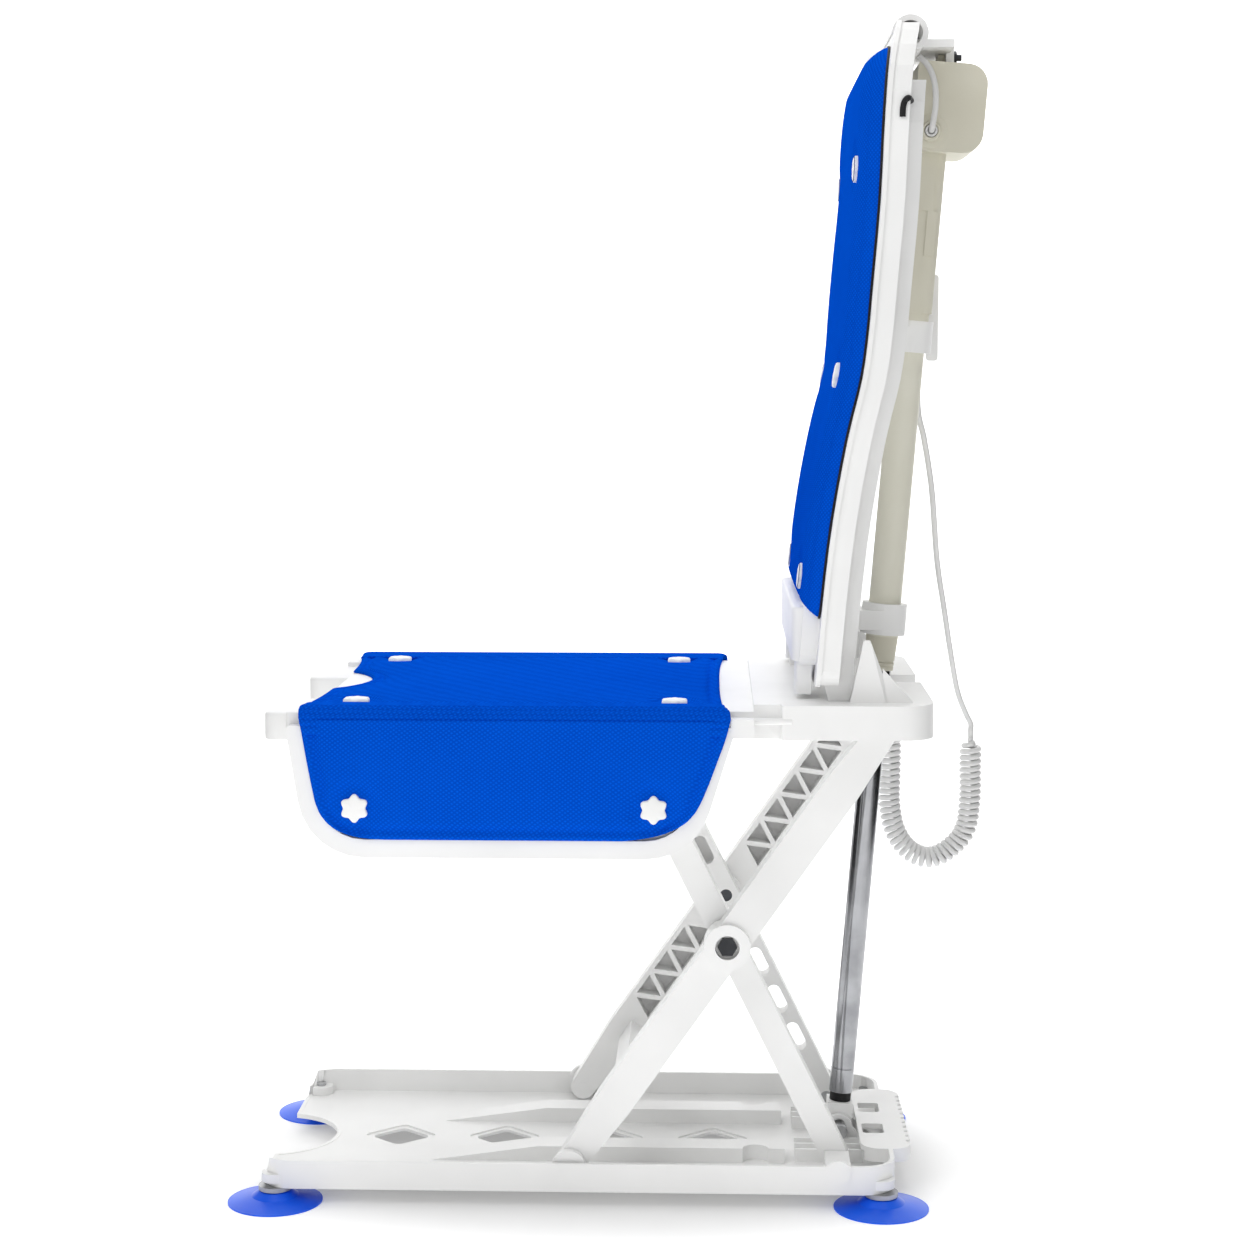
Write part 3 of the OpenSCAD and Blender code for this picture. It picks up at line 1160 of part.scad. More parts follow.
// Pushing rod with its nut and the hook foot that stands on the foot pin
module rod_tube() color(steel) difference() {
    on_axis(rod_s) cylinder(d = rod_d, h = rod_top_s - rod_s);
    on_axis(rod_bore_s) cylinder(r = rod_bore_r + run_fit, h = rod_top_s - rod_bore_s + cut);
    on_axis(rod_seam_s) difference() {
        cylinder(d = rod_d + 2 * cut, h = rod_seam);
        translate([0, 0, -cut]) cylinder(d = rod_d - rod_seam, h = rod_seam + 2 * cut);
    }
}
module rod_nut() color(ivory) on_axis(rod_top_s - nut_l) difference() {
    cylinder(r = rod_bore_r, h = nut_l);
    translate([0, 0, -cut]) cylinder(d = screw_d + 2 * run_fit, h = nut_l + 2 * cut);
}
module rod_ring() color(black) on_axis(foot_top) cylinder(r = ring_r, h = ring_h);
module rod_foot() color(white) on_axis(0) side(-foot_w / 2, foot_w) difference() {
    translate([-foot_r, -foot_r]) square([2 * foot_r, foot_top + foot_r]);
    circle(foot_pin_d / 2 + foot_fit);
    translate([0, -foot_r - cut]) square([foot_r + cut, foot_pin_d / 2 + foot_fit + foot_r + cut]);
    translate([-foot_pin_d / 2 - foot_fit, -foot_r - cut]) square([foot_r, foot_r + cut]);
}

// Handset that hangs on the seat's outer side, with its two buttons
module handset() color(white) difference() {
    side(handset_y, handset_t)
        polygon(box_outline(handset_x0, handset_z, handset_x0 + handset_l, handset_z + handset_h, handset_r));
    for (x = [button_x, button_x + button_pitch]) cross_pin([x, button_z], handset_y + handset_t - button_depth - button_travel,
        handset_y + handset_t + cut, button_r + run_fit);
}
module handset_holder() color(white) side(seat_w / 2, holder_t) translate([handset_x0 + handset_l / 4, seat_z])
    square([handset_l / 2, handset_z + handset_h - seat_z - handset_r]);
module button(x) color(blue)
    cross_pin([x, button_z], handset_y + handset_t - button_depth, handset_y + handset_t + button_out, button_r);
module button_up() button(button_x);
module button_down() button(button_x + button_pitch);
module handset_inlet() color(black) translate(inlet_at) cylinder(r = inlet_r, h = inlet_l);

// Handset cord: a plain lead and one unbroken curled tube
lead_line = curve(lead_route, spline_steps);
module cord_lead() color(white) cord_tube(lead_line, cord_d / 2, lead_sides, [for (p = lead_line) [1, 0, 0]]);
curl_line = curve(curl_route, 2 * curl_rings);
curl_count = curls * curl_rings;
curl_side = [0, 1, 0];
curl_steps = [for (i = [1 : len(curl_line) - 1]) norm(curl_line[i] - curl_line[i - 1])];
curl_sums = [for (i = 0, s = 0; i < len(curl_line); s = s + (i < len(curl_steps) ? curl_steps[i] : 0), i = i + 1) s];
curl_total = curl_sums[len(curl_sums) - 1];
function curl_index(s) = len([for (v = curl_sums) if (v <= s) 1]) - 1;
function curl_mid(s) = let (i = min(curl_index(s), len(curl_line) - 2), f = (s - curl_sums[i]) / curl_steps[i])
    curl_line[i] + (curl_line[i + 1] - curl_line[i]) * f;
// The first and last curls grow from the line of the cord and shrink back to it
function curl_size(k) = curl_r * min(1, k / curl_rings, (curl_count - k) / curl_rings);
function curl_at(k) = cord_d + (curl_total - 2 * cord_d) * k / curl_count;
function curl_out(k) =
    let (t = unit(curl_mid(curl_at(k) + cut) - curl_mid(curl_at(k) - cut)), v = cross(t, curl_side), a = 360 * k / curl_rings)
    cos(a) * curl_side + sin(a) * v;
curl_outs = concat([curl_out(0)], [for (k = [0 : curl_count]) curl_out(k)], [curl_out(curl_count)]);
curl_points = concat([curl_mid(0)], [for (k = [0 : curl_count]) curl_mid(curl_at(k)) + curl_size(k) * curl_out(k)],
    [curl_mid(curl_total)]);
module cord_curls() {
    n = len(curl_points);
    gap = min([for (i = [0 : n - 1], j = [i + curl_rings - 2 : n - 1]) norm(curl_points[i] - curl_points[j])]);
    echo(least_gap_between_curls = gap - cord_d);
    color(white) cord_tube(curl_points, cord_d / 2, curl_sides, curl_outs);
}

at_origin() base_tray();
at_origin() suction_cup(-cup_x, -cup_y);  // suction_cup_fl
at_origin() suction_cup(-cup_x, cup_y);  // suction_cup_fr
at_origin() suction_cup(cup_x, -cup_y);  // suction_cup_rl
at_origin() suction_cup(cup_x, cup_y);  // suction_cup_rr
at_origin() cup_studs();
at_origin() base_pins();
at_origin() foot_pin();
at_origin() inner_leg_left();
at_origin() inner_leg_right();
at_origin() top_axle();
at_origin() top_rollers();
at_origin() centre_bolts();
at_origin() spacer_washers();
at_origin() outer_leg_left();
at_origin() outer_leg_right();
at_origin() outer_beam();
at_origin() outer_rollers();
at_origin() seat_frame();
at_origin() seat_cover();
at_origin() seat_knobs();
at_origin() seat_pins();
at_origin() back_pins();
at_origin() flap_pins();
at_origin() handset();
at_origin() handset_holder();
at_origin() handset_inlet();
at_origin() button_up();
at_origin() button_down();
at_origin() flap_left();
at_origin() flap_cover_left();
at_origin() flap_knobs_left();
at_origin() flap_right();
at_origin() flap_cover_right();
at_origin() flap_knobs_right();
at_origin() back_shell();
at_origin() back_cover();
at_origin() back_knobs();
at_origin() lower_clamp();
at_origin() upper_clamp();
at_origin() clamp_caps();
at_origin() tube_nose();
at_origin() guide_tube();
at_origin() drive_casing();
at_origin() head_lower();
at_origin() head_upper();
at_origin() head_bolt();
at_origin() screw_bearing();
at_origin() lead_screw();
at_origin() worm_wheel();
at_origin() worm();
at_origin() drive_motor();
at_origin() cord_plug();
at_origin() cord_gland();
at_origin() rod_tube();
at_origin() rod_nut();
at_origin() rod_ring();
at_origin() rod_foot();
at_origin() cord_lead();
at_origin() cord_curls();
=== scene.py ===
# %% [markdown]
# # Bath lift
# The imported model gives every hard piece. This script adds the looks: the camera and the light, the
# handset's cord, the blue covers of the seat, the side flaps and the backrest, and a material for every
# piece. Places could be written in the model's metres, but the part's source counts millimetres from the
# middle of the base tray. So they are written that way here too, and `row` turns a whole table of them
# into metres at once.

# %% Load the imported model
import json
import math

import bmesh
import bpy
import numpy as np
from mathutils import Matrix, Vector


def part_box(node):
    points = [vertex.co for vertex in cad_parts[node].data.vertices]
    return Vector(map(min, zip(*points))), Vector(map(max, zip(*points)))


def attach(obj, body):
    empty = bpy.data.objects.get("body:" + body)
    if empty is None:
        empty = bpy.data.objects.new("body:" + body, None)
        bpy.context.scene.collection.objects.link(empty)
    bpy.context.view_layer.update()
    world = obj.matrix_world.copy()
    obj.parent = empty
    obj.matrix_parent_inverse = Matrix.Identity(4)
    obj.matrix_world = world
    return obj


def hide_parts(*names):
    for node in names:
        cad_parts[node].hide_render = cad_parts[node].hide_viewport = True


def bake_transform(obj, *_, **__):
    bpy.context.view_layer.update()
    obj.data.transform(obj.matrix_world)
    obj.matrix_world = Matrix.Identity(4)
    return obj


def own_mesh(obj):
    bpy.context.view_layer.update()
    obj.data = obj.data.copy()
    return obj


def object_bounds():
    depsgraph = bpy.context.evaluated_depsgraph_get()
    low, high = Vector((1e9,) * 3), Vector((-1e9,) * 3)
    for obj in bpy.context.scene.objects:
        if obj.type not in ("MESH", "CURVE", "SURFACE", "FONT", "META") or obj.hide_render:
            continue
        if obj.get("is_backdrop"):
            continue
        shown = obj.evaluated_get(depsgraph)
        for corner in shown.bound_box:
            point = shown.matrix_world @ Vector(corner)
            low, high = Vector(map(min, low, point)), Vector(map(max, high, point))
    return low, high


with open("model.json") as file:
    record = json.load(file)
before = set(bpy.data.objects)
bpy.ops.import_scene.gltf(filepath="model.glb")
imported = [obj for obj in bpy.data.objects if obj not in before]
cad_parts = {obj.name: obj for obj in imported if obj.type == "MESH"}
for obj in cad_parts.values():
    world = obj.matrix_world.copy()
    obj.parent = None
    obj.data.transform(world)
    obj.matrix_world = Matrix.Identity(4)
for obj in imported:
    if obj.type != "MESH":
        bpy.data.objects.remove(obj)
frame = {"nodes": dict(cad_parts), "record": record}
nodes = frame["nodes"]
cad_low, cad_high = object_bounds()
cad_box = [list(cad_low), list(cad_high)]

TRAY_FRONT = -288.5
MIDDLE = TRAY_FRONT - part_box("base_tray")[0].x * 1000


def row(points):
    """Points in millimetres from the tray's middle, as an array in the model's metres."""
    return (np.asarray(points, float) - np.array([MIDDLE, 0, 0])) / 1000


def in_mm(points):
    """The way back from `row`."""
    return np.array(points, float) * 1000 + [MIDDLE, 0, 0]


print(len(nodes), "packed nodes, tray's middle at", -MIDDLE / 1000, "m")

# %% [markdown]
# ## Camera
# The view is from the lift's left side, a little above the seat. A camera could be aimed with a Track To
# constraint. Here its place, turn and lens are numbers, because they come from a fit to some thirty
# points of the tray, the legs, the seat and the backrest. Colours are shown as they are, without a film
# look, so that white plastic stays white and the blue stays deep.

# %% Camera
LENS_MM = 68.93
SENSOR_MM = 36
CAMERA_SPOT = (119.5, -2241.5, 755.7)
CAMERA_YAW, CAMERA_PITCH = -2.008, -6.165


def look_along(obj, yaw, pitch):
    """Turns a camera or a lamp: yaw to the right of +Y and pitch above the horizon, in degrees."""
    a, b = math.radians(yaw), math.radians(pitch)
    way = Vector((math.sin(a) * math.cos(b), math.cos(a) * math.cos(b), math.sin(b)))
    obj.rotation_euler = way.to_track_quat("-Z", "Y").to_euler()


camera_data = bpy.data.cameras.new("camera")
camera_data.sensor_width = SENSOR_MM
camera_data.lens = LENS_MM
camera = bpy.data.objects.new("camera", camera_data)
camera.location = row(CAMERA_SPOT)
look_along(camera, CAMERA_YAW, CAMERA_PITCH)
bpy.context.scene.collection.objects.link(camera)
bpy.context.scene.camera = camera
bpy.context.scene.view_settings.view_transform = "Standard"
print("camera at", [round(c, 3) for c in camera.location], "with a lens of", LENS_MM, "mm")

# %% [markdown]
# ## Tools for materials
# A material could be drawn by hand in the Shader Editor. In a script, one function that adds a node and
# wires its inputs is enough, with one that turns a colour code into linear light. All patterns use Object
# coordinates, which are the model's metres, so that a pattern has a real size: `per_metre` gives a
# texture's scale for spots of some millimetres.

# %% Tools for materials
def linear(code):
    """Linear RGBA of a colour such as F2F2F0."""
    parts = [int(code[i:i + 2], 16) / 255 for i in (0, 2, 4)]
    return [p / 12.92 if p <= 0.04045 else ((p + 0.055) / 1.055) ** 2.4 for p in parts] + [1]


def add(tree, kind, settings=None, **inputs):
    """Adds a node, sets it up, and fills its inputs with values or with (node, output) links."""
    made = tree.nodes.new(kind)
    for key, value in (settings or {}).items():
        setattr(made, key, value)
    for key, value in inputs.items():
        socket = made.inputs[key.replace("_", " ")]
        if isinstance(value, tuple):
            tree.links.new(value[0].outputs[value[1]], socket)
        else:
            socket.default_value = value
    return made


def surface(name):
    """An empty material with its shader and its Object coordinates."""
    made = bpy.data.materials.new(name)
    made.use_nodes = True
    tree = made.node_tree
    shader = tree.nodes["Principled BSDF"]
    where = add(tree, "ShaderNodeTexCoord")
    return made, tree, shader, (where, "Object")


def join(tree, source, output, shader, socket):
    tree.links.new(source.outputs[output], shader.inputs[socket])


def per_metre(size):
    """Scale of a texture whose spots are size millimetres wide."""
    return 1000 / size


def tinted(tree, shader, where, dark, light, size):
    """Colour that drifts softly between two shades, in clouds of size millimetres."""
    drift = add(tree, "ShaderNodeTexNoise", Vector=where, Scale=per_metre(size), Detail=3.0)
    ramp = add(tree, "ShaderNodeValToRGB", Fac=(drift, "Fac"))
    ramp.color_ramp.elements[0].position = 0.35
    ramp.color_ramp.elements[1].position = 0.65
    ramp.color_ramp.elements[0].color = linear(dark)
    ramp.color_ramp.elements[1].color = linear(light)
    join(tree, ramp, "Color", shader, "Base Color")


print("a 25 mm spot has the scale", per_metre(25), "and mid grey is", round(linear("808080")[0], 3))

# %% [markdown]
# ## Moulded plastic and rubber
# The tray, legs, seat and shell are moulded ABS, the cups soft PVC, the drive's housing matt ABS. A mould
# leaves an even colour, a soft gloss that handling makes uneven, and a spark-eroded grain of about 0.1
# mm. One flat colour would look like a toy, so three noises give the drift, the uneven gloss and the
# grain. The grain is too fine to show, so it is drawn about ten times coarser.

# %% Moulded plastic and rubber
def moulded(name, dark, light, roughness, grain=1.11, depth=0.00006, gloss=0.3):
    """Moulded plastic or rubber with a grain in millimetres and its depth in metres."""
    made, tree, shader, where = surface(name)
    tinted(tree, shader, where, dark, light, 111)
    wear = add(tree, "ShaderNodeTexNoise", Vector=where, Scale=per_metre(25), Detail=4.0)
    spread = add(tree, "ShaderNodeMapRange", Value=(wear, "Fac"), To_Min=roughness - 0.05,
                 To_Max=roughness + 0.07)
    join(tree, spread, "Result", shader, "Roughness")
    peel = add(tree, "ShaderNodeTexNoise", Vector=where, Scale=per_metre(grain), Detail=2.0)
    bump = add(tree, "ShaderNodeBump", Height=(peel, "Fac"), Strength=0.5, Distance=depth)
    join(tree, bump, "Normal", shader, "Normal")
    shader.inputs["Specular IOR Level"].default_value = gloss
    return made


finish_of = {
    # Glossy ABS: bright, with broad soft highlights
    "white_plastic": moulded("abs_white_moulded", "F2F2F1", "F8F8F7", 0.42),
    # Soft PVC: smooth and wet-looking
    "cup_blue": moulded("pvc_blue_moulded", "0A58F0", "1E6CFF", 0.3, 3.33, 0.00004, 0.25),
    # Matt ABS of a motor's housing: a finer, deeper grain, hardly any highlight
    "beige_plastic": moulded("abs_beige_matt", "D2CEBC", "DBD8C8", 0.5, 0.714, 0.0001),
    # Drawn tube of filled polymer: paler and smoother
    "ivory_plastic": moulded("pom_ivory_drawn", "DEDCCC", "E6E4D6", 0.38),
    # Vulcanised rubber: nearly black and dull
    "black_rubber": moulded("rubber_black_moulded", "0C0C0D", "1A1A1C", 0.6, 1.43, 0.0001),
    "blue_key": moulded("abs_blue_moulded", "0A3FB4", "124CC8", 0.4),
    # Soft sheath of a cord: slightly greyer than the white pieces
    "cord_white": moulded("pvc_white_sheath", "DEDEDE", "E8E8E7", 0.4, 1.67, 0.00005),
}
print(len(finish_of), "moulded finishes")

# %% [markdown]
# ## Metals
# The pins and studs are zinc-plated steel, the rod is hard chrome on steel, the bolts are blackened
# steel. All were turned or drawn, which leaves fine lines one way. An anisotropic shader could give them,
# but it needs a direction at every point of the mesh, so a noise is drawn out along one axis and drives
# the roughness and a slight bump. Lines of some hundredths of a millimetre would not show; they are about
# 1 to 2 mm here.

# %% Metals
def metal(name, dark, light, roughness, lines):
    """Metal with lines whose sizes along X, Y and Z are given in millimetres."""
    made, tree, shader, where = surface(name)
    tinted(tree, shader, where, dark, light, 33)
    drawn = add(tree, "ShaderNodeMapping", Vector=where, Scale=[per_metre(size) for size in lines])
    streaks = add(tree, "ShaderNodeTexNoise", Vector=(drawn, "Vector"), Scale=1.0, Detail=3.0)
    spread = add(tree, "ShaderNodeMapRange", Value=(streaks, "Fac"), To_Min=roughness - 0.06,
                 To_Max=roughness + 0.12)
    join(tree, spread, "Result", shader, "Roughness")
    bump = add(tree, "ShaderNodeBump", Height=(streaks, "Fac"), Strength=0.25, Distance=0.00004)
    join(tree, bump, "Normal", shader, "Normal")
    shader.inputs["Metallic"].default_value = 1.0
    return made


# Zinc plate: pale, with soft turned lines across the pins
finish_of["steel"] = metal("steel_zinc_turned", "A9AAAC", "C4C5C6", 0.34, [25, 1.11, 25])
# Hard chrome: a mirror that is streaked along the rod and shows its dark and bright surroundings as bands
finish_of["chrome_rod"] = metal("steel_chromed_drawn", "8A8B8E", "A2A3A6", 0.13, [2, 2, 50])
# Blackened steel: dark and even
finish_of["dark_metal"] = metal("steel_blackened", "3A3B3D", "55565A", 0.4, [3.33, 3.33, 3.33])
print(len(finish_of), "finishes with the metals")

# %% [markdown]
# ## Cover cloth
# The covers are a woven polyester face on foam, pressed at the edges. Real threads lie about half a
# millimetre apart. That is finer than a pixel here, so two slanted sets of ribs are drawn 2.6 mm apart.
# They could follow a UV map, but the covers bend little, so Object coordinates that are turned off the
# axes do for every side. Cloth has no mirror gloss, so the specular level is nil.

# %% Cover cloth
# A wave texture of scale 1 repeats at this part of a metre
WAVE_REPEAT = 2 * math.pi / 20
RIB_MM = 2.6


def woven(name, dark, light, pitch):
    """Woven cloth with ribs pitch millimetres apart, with a painted highlight on their crowns."""
    made, tree, shader, where = surface(name)
    scale = WAVE_REPEAT * per_metre(pitch)
    slanted = add(tree, "ShaderNodeMapping", Vector=where, Rotation=[0.6, 0.5, 0.8])
    both = add(tree, "ShaderNodeMath", {"operation": "MULTIPLY"})
    for i, axis in enumerate(("X", "Z")):
        rib = add(tree, "ShaderNodeTexWave", {"bands_direction": axis}, Vector=(slanted, "Vector"),
                  Scale=scale, Distortion=1.2)
        tree.links.new(rib.outputs["Fac"], both.inputs[i])
    drift = add(tree, "ShaderNodeTexNoise", Vector=where, Scale=per_metre(71), Detail=3.0)
    level = add(tree, "ShaderNodeMath", {"operation": "MULTIPLY_ADD"})
    tree.links.new(both.outputs["Value"], level.inputs[0])
    level.inputs[1].default_value = 0.6
    calm = add(tree, "ShaderNodeMapRange", Value=(drift, "Fac"), To_Min=0.42, To_Max=0.6)
    tree.links.new(calm.outputs["Result"], level.inputs[2])
    # The colour: a painted highlight on the ribs' crowns and painted shade between them, over a soft drift
    # of tone.
    ramp = add(tree, "ShaderNodeValToRGB", Fac=(level, "Value"))
    ramp.color_ramp.elements[0].position = 0.32
    ramp.color_ramp.elements[1].position = 1.0
    ramp.color_ramp.elements[0].color = linear(dark)
    ramp.color_ramp.elements[1].color = linear(light)
    join(tree, ramp, "Color", shader, "Base Color")
    bump = add(tree, "ShaderNodeBump", Height=(both, "Value"), Strength=0.5, Distance=0.0003)
    join(tree, bump, "Normal", shader, "Normal")
    spread = add(tree, "ShaderNodeMapRange", Value=(both, "Value"), To_Min=0.6, To_Max=0.75)
    join(tree, spread, "Result", shader, "Roughness")
    shader.inputs["Specular IOR Level"].default_value = 0.0
    return made


finish_of["blue_cover"] = woven("polyester_blue_woven", "0042B8", "055CDE", RIB_MM)
print("cover cloth with ribs", RIB_MM, "mm apart")

# %% [markdown]
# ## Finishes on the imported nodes
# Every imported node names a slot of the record, and the slot picks its finish. A node could get its own
# material, but pieces of one moulding should match. Two nodes are overruled: the flap pins are plastic,
# and the drive's nose is moulded with its housing. `dress` does the same for the new pieces that follow.

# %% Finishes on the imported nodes
slot_of = {part["node"]: part["material_slot"] for part in frame["record"]["subparts"]}
for name, node in nodes.items():
    node.data.materials.clear()
    node.data.materials.append(finish_of[slot_of[name]])
nodes["flap_pins"].data.materials[0] = finish_of["white_plastic"]
nodes["tube_nose"].data.materials[0] = finish_of["beige_plastic"]


def dress(obj, slot):
    """Gives a new piece the material of the slot it stands for."""
    obj.data.materials.append(finish_of[slot])
    return obj


print(len(finish_of), "finishes on", len(nodes), "nodes")

# %% [markdown]
# ## Lead of the cord
# The handset hangs on a PVC cord of 5.6 mm: a plain lead comes down behind the backrest and ends in
# curls. A Curve object with a round bevel would do, but its mesh has no known ring centres. So rings are
# set along a smooth line through a few points, on the route of the part's source, and skinned to one
# closed tube.

# %% Lead of the cord
def smooth_line(points, steps):
    """Catmull-Rom curve through points."""
    p = np.asarray(points, float)
    out = []
    for i in range(len(p) - 1):
        a, b, c, d = p[max(i - 1, 0)], p[i], p[i + 1], p[min(i + 2, len(p) - 1)]
        for t in np.arange(steps) / steps:
            bend = (2 * a - 5 * b + 4 * c - d) * t * t + (3 * b - a - 3 * c + d) * t ** 3
            out.append((2 * b + (c - a) * t + bend) / 2)
    return np.array(out + [p[-1]])


def finished(name, bm, crease=180):
    """Smooth-shaded object at the origin; edges sharper than crease degrees stay crisp."""
    bmesh.ops.recalc_face_normals(bm, faces=bm.faces)
    for face in bm.faces:
        face.smooth = True
    for edge in bm.edges:
        edge.smooth = edge.calc_face_angle(0) < math.radians(crease)
    data = bpy.data.meshes.new(name)
    bm.to_mesh(data)
    bm.free()
    obj = bpy.data.objects.new(name, data)
    bpy.context.scene.collection.objects.link(obj)
    return obj


def tube(name, centres, radius, sides, first):
    """Mesh tube round ring centres in metres; first is the way, or the ways, to the rings' first corners."""
    centres = np.asarray(centres, float)
    way = np.gradient(centres, axis=0)
    way /= np.linalg.norm(way, axis=1)[:, None]
    u = first - (first * way).sum(1)[:, None] * way
    u /= np.linalg.norm(u, axis=1)[:, None]
    v = np.cross(way, u)
    bm = bmesh.new()
    turns = np.arange(sides) * 2 * math.pi / sides
    rings = [[bm.verts.new(c + radius * (math.cos(a) * x + math.sin(a) * y)) for a in turns]
             for c, x, y in zip(centres, u, v)]
    for low, high in zip(rings, rings[1:]):
        for k in range(sides):
            bm.faces.new((low[k], low[(k + 1) % sides], high[(k + 1) % sides], high[k]))
    bm.faces.new(rings[0][::-1])
    bm.faces.new(rings[-1])
    return finished(name, bm)


def line_length(points):
    return float(np.linalg.norm(np.diff(points, axis=0), axis=1).sum())


ALONG_X, ALONG_Y = np.array([1.0, 0, 0]), np.array([0, 1.0, 0])
CORD_D = 5.6
LEAD_SIDES, CURL_SIDES = 14, 10
DRIVE_LEAN = math.radians(4.5)
drive_way = np.array([math.sin(DRIVE_LEAN), 0, math.cos(DRIVE_LEAN)])
lead_start = np.array([313.57, 22.5, 781.76])
inlet = np.array([304.0, 203.5, 390.0])
# Shares of the bight's width and depth, from the lead's end to the handset
BIGHT_WIDTH, BIGHT_DEPTH = 82, 136
curl_shares = [(1, 0.066), (1, 0.287), (1, 0.566), (0.939, 0.794), (0.732, 0.941), (0.488, 1),
               (0.244, 0.941), (0.073, 0.794), (0, 0.588), (0, 0.368), (0, 0)]
curl_route = np.array([inlet + [BIGHT_WIDTH * a, 0, -BIGHT_DEPTH * b] for a, b in curl_shares])
lead_shares = [(-0.008, 0.019, 0.164), (0.089, 0.074, 0.234), (0.227, 0.211, 0.356),
               (0.365, 0.458, 0.531), (0.517, 0.644, 0.661), (0.641, 0.786, 0.768), (0.779, 0.907, 0.878),
               (0.917, 0.973, 0.94), (1, 1, 0.97), (1, 1, 0.985), (1, 1, 1)]
lead_route = [lead_start - 2 * k * CORD_D * drive_way for k in range(3)]
lead_route += [lead_start + np.array(s) * (curl_route[0] - lead_start) for s in lead_shares]

lead_path = row(smooth_line(lead_route, 10))
lead = tube("cord_lead_tube", lead_path, CORD_D / 2000, LEAD_SIDES, ALONG_X)
print("lead of", round(line_length(lead_path), 4), "m in", len(lead_path), "rings")

# %% [markdown]
# ## Curls of the cord
# The lower part is a coiled cord that hangs in a bight between the lead and the handset. A Screw modifier
# makes a straight spring only. Here a point runs round the bight's line, 46 turns of 17 mm, and each
# ring's first corner looks away from that line, so that the tube does not twist. At both ends the turns
# shrink into the line over one turn.

# %% Curls of the cord
CURL_R = 8.6
CURLS = 46
CURL_RINGS = 24
curl_mid = smooth_line(curl_route, 60)
curl_sums = np.concatenate([[0], np.cumsum(np.linalg.norm(np.diff(curl_mid, axis=0), axis=1))])
curl_count = CURLS * CURL_RINGS
ring = np.arange(curl_count + 1)
curl_at = CORD_D + (curl_sums[-1] - 2 * CORD_D) * ring / curl_count


def on_curl_line(s):
    return np.stack([np.interp(s, curl_sums, curl_mid[:, k]) for k in range(3)], axis=1)


curl_way = on_curl_line(curl_at + 1) - on_curl_line(curl_at - 1)
curl_way /= np.linalg.norm(curl_way, axis=1)[:, None]
turn = 2 * np.pi * ring / CURL_RINGS
curl_out = np.cos(turn)[:, None] * ALONG_Y + np.sin(turn)[:, None] * np.cross(curl_way, ALONG_Y)
grow = np.minimum(1, np.minimum(ring, curl_count - ring) / CURL_RINGS)
curl_points = on_curl_line(curl_at) + CURL_R * grow[:, None] * curl_out
curl_points = np.concatenate([curl_mid[:1], curl_points, curl_mid[-1:]])
curl_first = np.concatenate([curl_out[:1], curl_out, curl_out[-1:]])
curl_path = row(curl_points)
curls = tube("cord_curl_tube", curl_path, CORD_D / 2000, CURL_SIDES, curl_first)
print("curls of", round(line_length(curl_path), 4), "m in", CURLS, "turns")

# %% [markdown]
# ### Cord on its bodies
# The lead leaves the drive on the backrest and ends at the seat; with one body alone it would tear off at
# one end, and it rides on no body. The curls ride on the seat. As the lift goes down they would sink
# through the floor.

# %% Cord on its bodies
LEAD_FROM, LEAD_TO = (313, 30, 640), (386, 203, 420)
CURL_ANCHOR = (304, 203.5, 402)
for piece, path, node in ((lead, lead_path, "cord_lead"), (curls, curl_path, "cord_curls")):
    dress(piece, "cord_white")
    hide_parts(node)
    tuple(path[0])
    line_length(path)
tuple(row(LEAD_FROM))
tuple(row(LEAD_TO))
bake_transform(lead)
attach(curls, "seat")
tuple(row(CURL_ANCHOR))
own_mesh(curls)
print("cord declared:", lead.name, "and", curls.name)

# %% [markdown]
# ## Tools for covers
# Each cover is a thin foam pad with a pressed edge. It could be sculpted, but numbers can be repeated:
# two even grids, the face and the back, are bent to two functions of (u, v) and bridged round the rim.
# The grids are closer near their edges, where the pressing is.

# %% Tools for covers
def pad(name, across, along, face, back):
    """Closed pad from two functions of (u, v) in -1..1 that give points in millimetres."""
    bm = bmesh.new()
    rims = []
    for shape in (face, back):
        made = bmesh.ops.create_grid(bm, x_segments=across, y_segments=along, size=1.0)["verts"]
        spots = row([shape(v.co.x, v.co.y) for v in made])
        for vert, spot in zip(made, spots):
            vert.co = spot
        mine = set(made)
        rims += [e for e in bm.edges if e.verts[0] in mine and len(e.link_faces) == 1]
    bmesh.ops.bridge_loops(bm, edges=rims)
    return finished(name, bm)


def ease(t):
    t = min(max(t, 0.0), 1.0)
    return t * t * (3 - 2 * t)


def crowd(t):
    """Grid parameter -1..1 with its lines closer together near both ends."""
    return math.sin(math.pi / 2 * t) * 0.55 + t * 0.45


def spot_distance(spots, a, b):
    return min(math.hypot(a - p, b - q) for p, q in spots)


print("an edge eases in by", [round(ease(t / 4), 2) for t in range(5)])

# %% [markdown]
# ### Swell of the covers
# Foam under cloth swells softly between the places where it is held. A texture could fake that; cloth
# pressure gives it. The rim, the seams and the knobs' dimples are pinned, pressure blows up the rest for
# twenty frames, and no point may go further than a cap, so that the result stays calm. One level of
# subdivision then smooths the mesh.

# %% Swell of the covers
CLOTH_FRAMES = 20


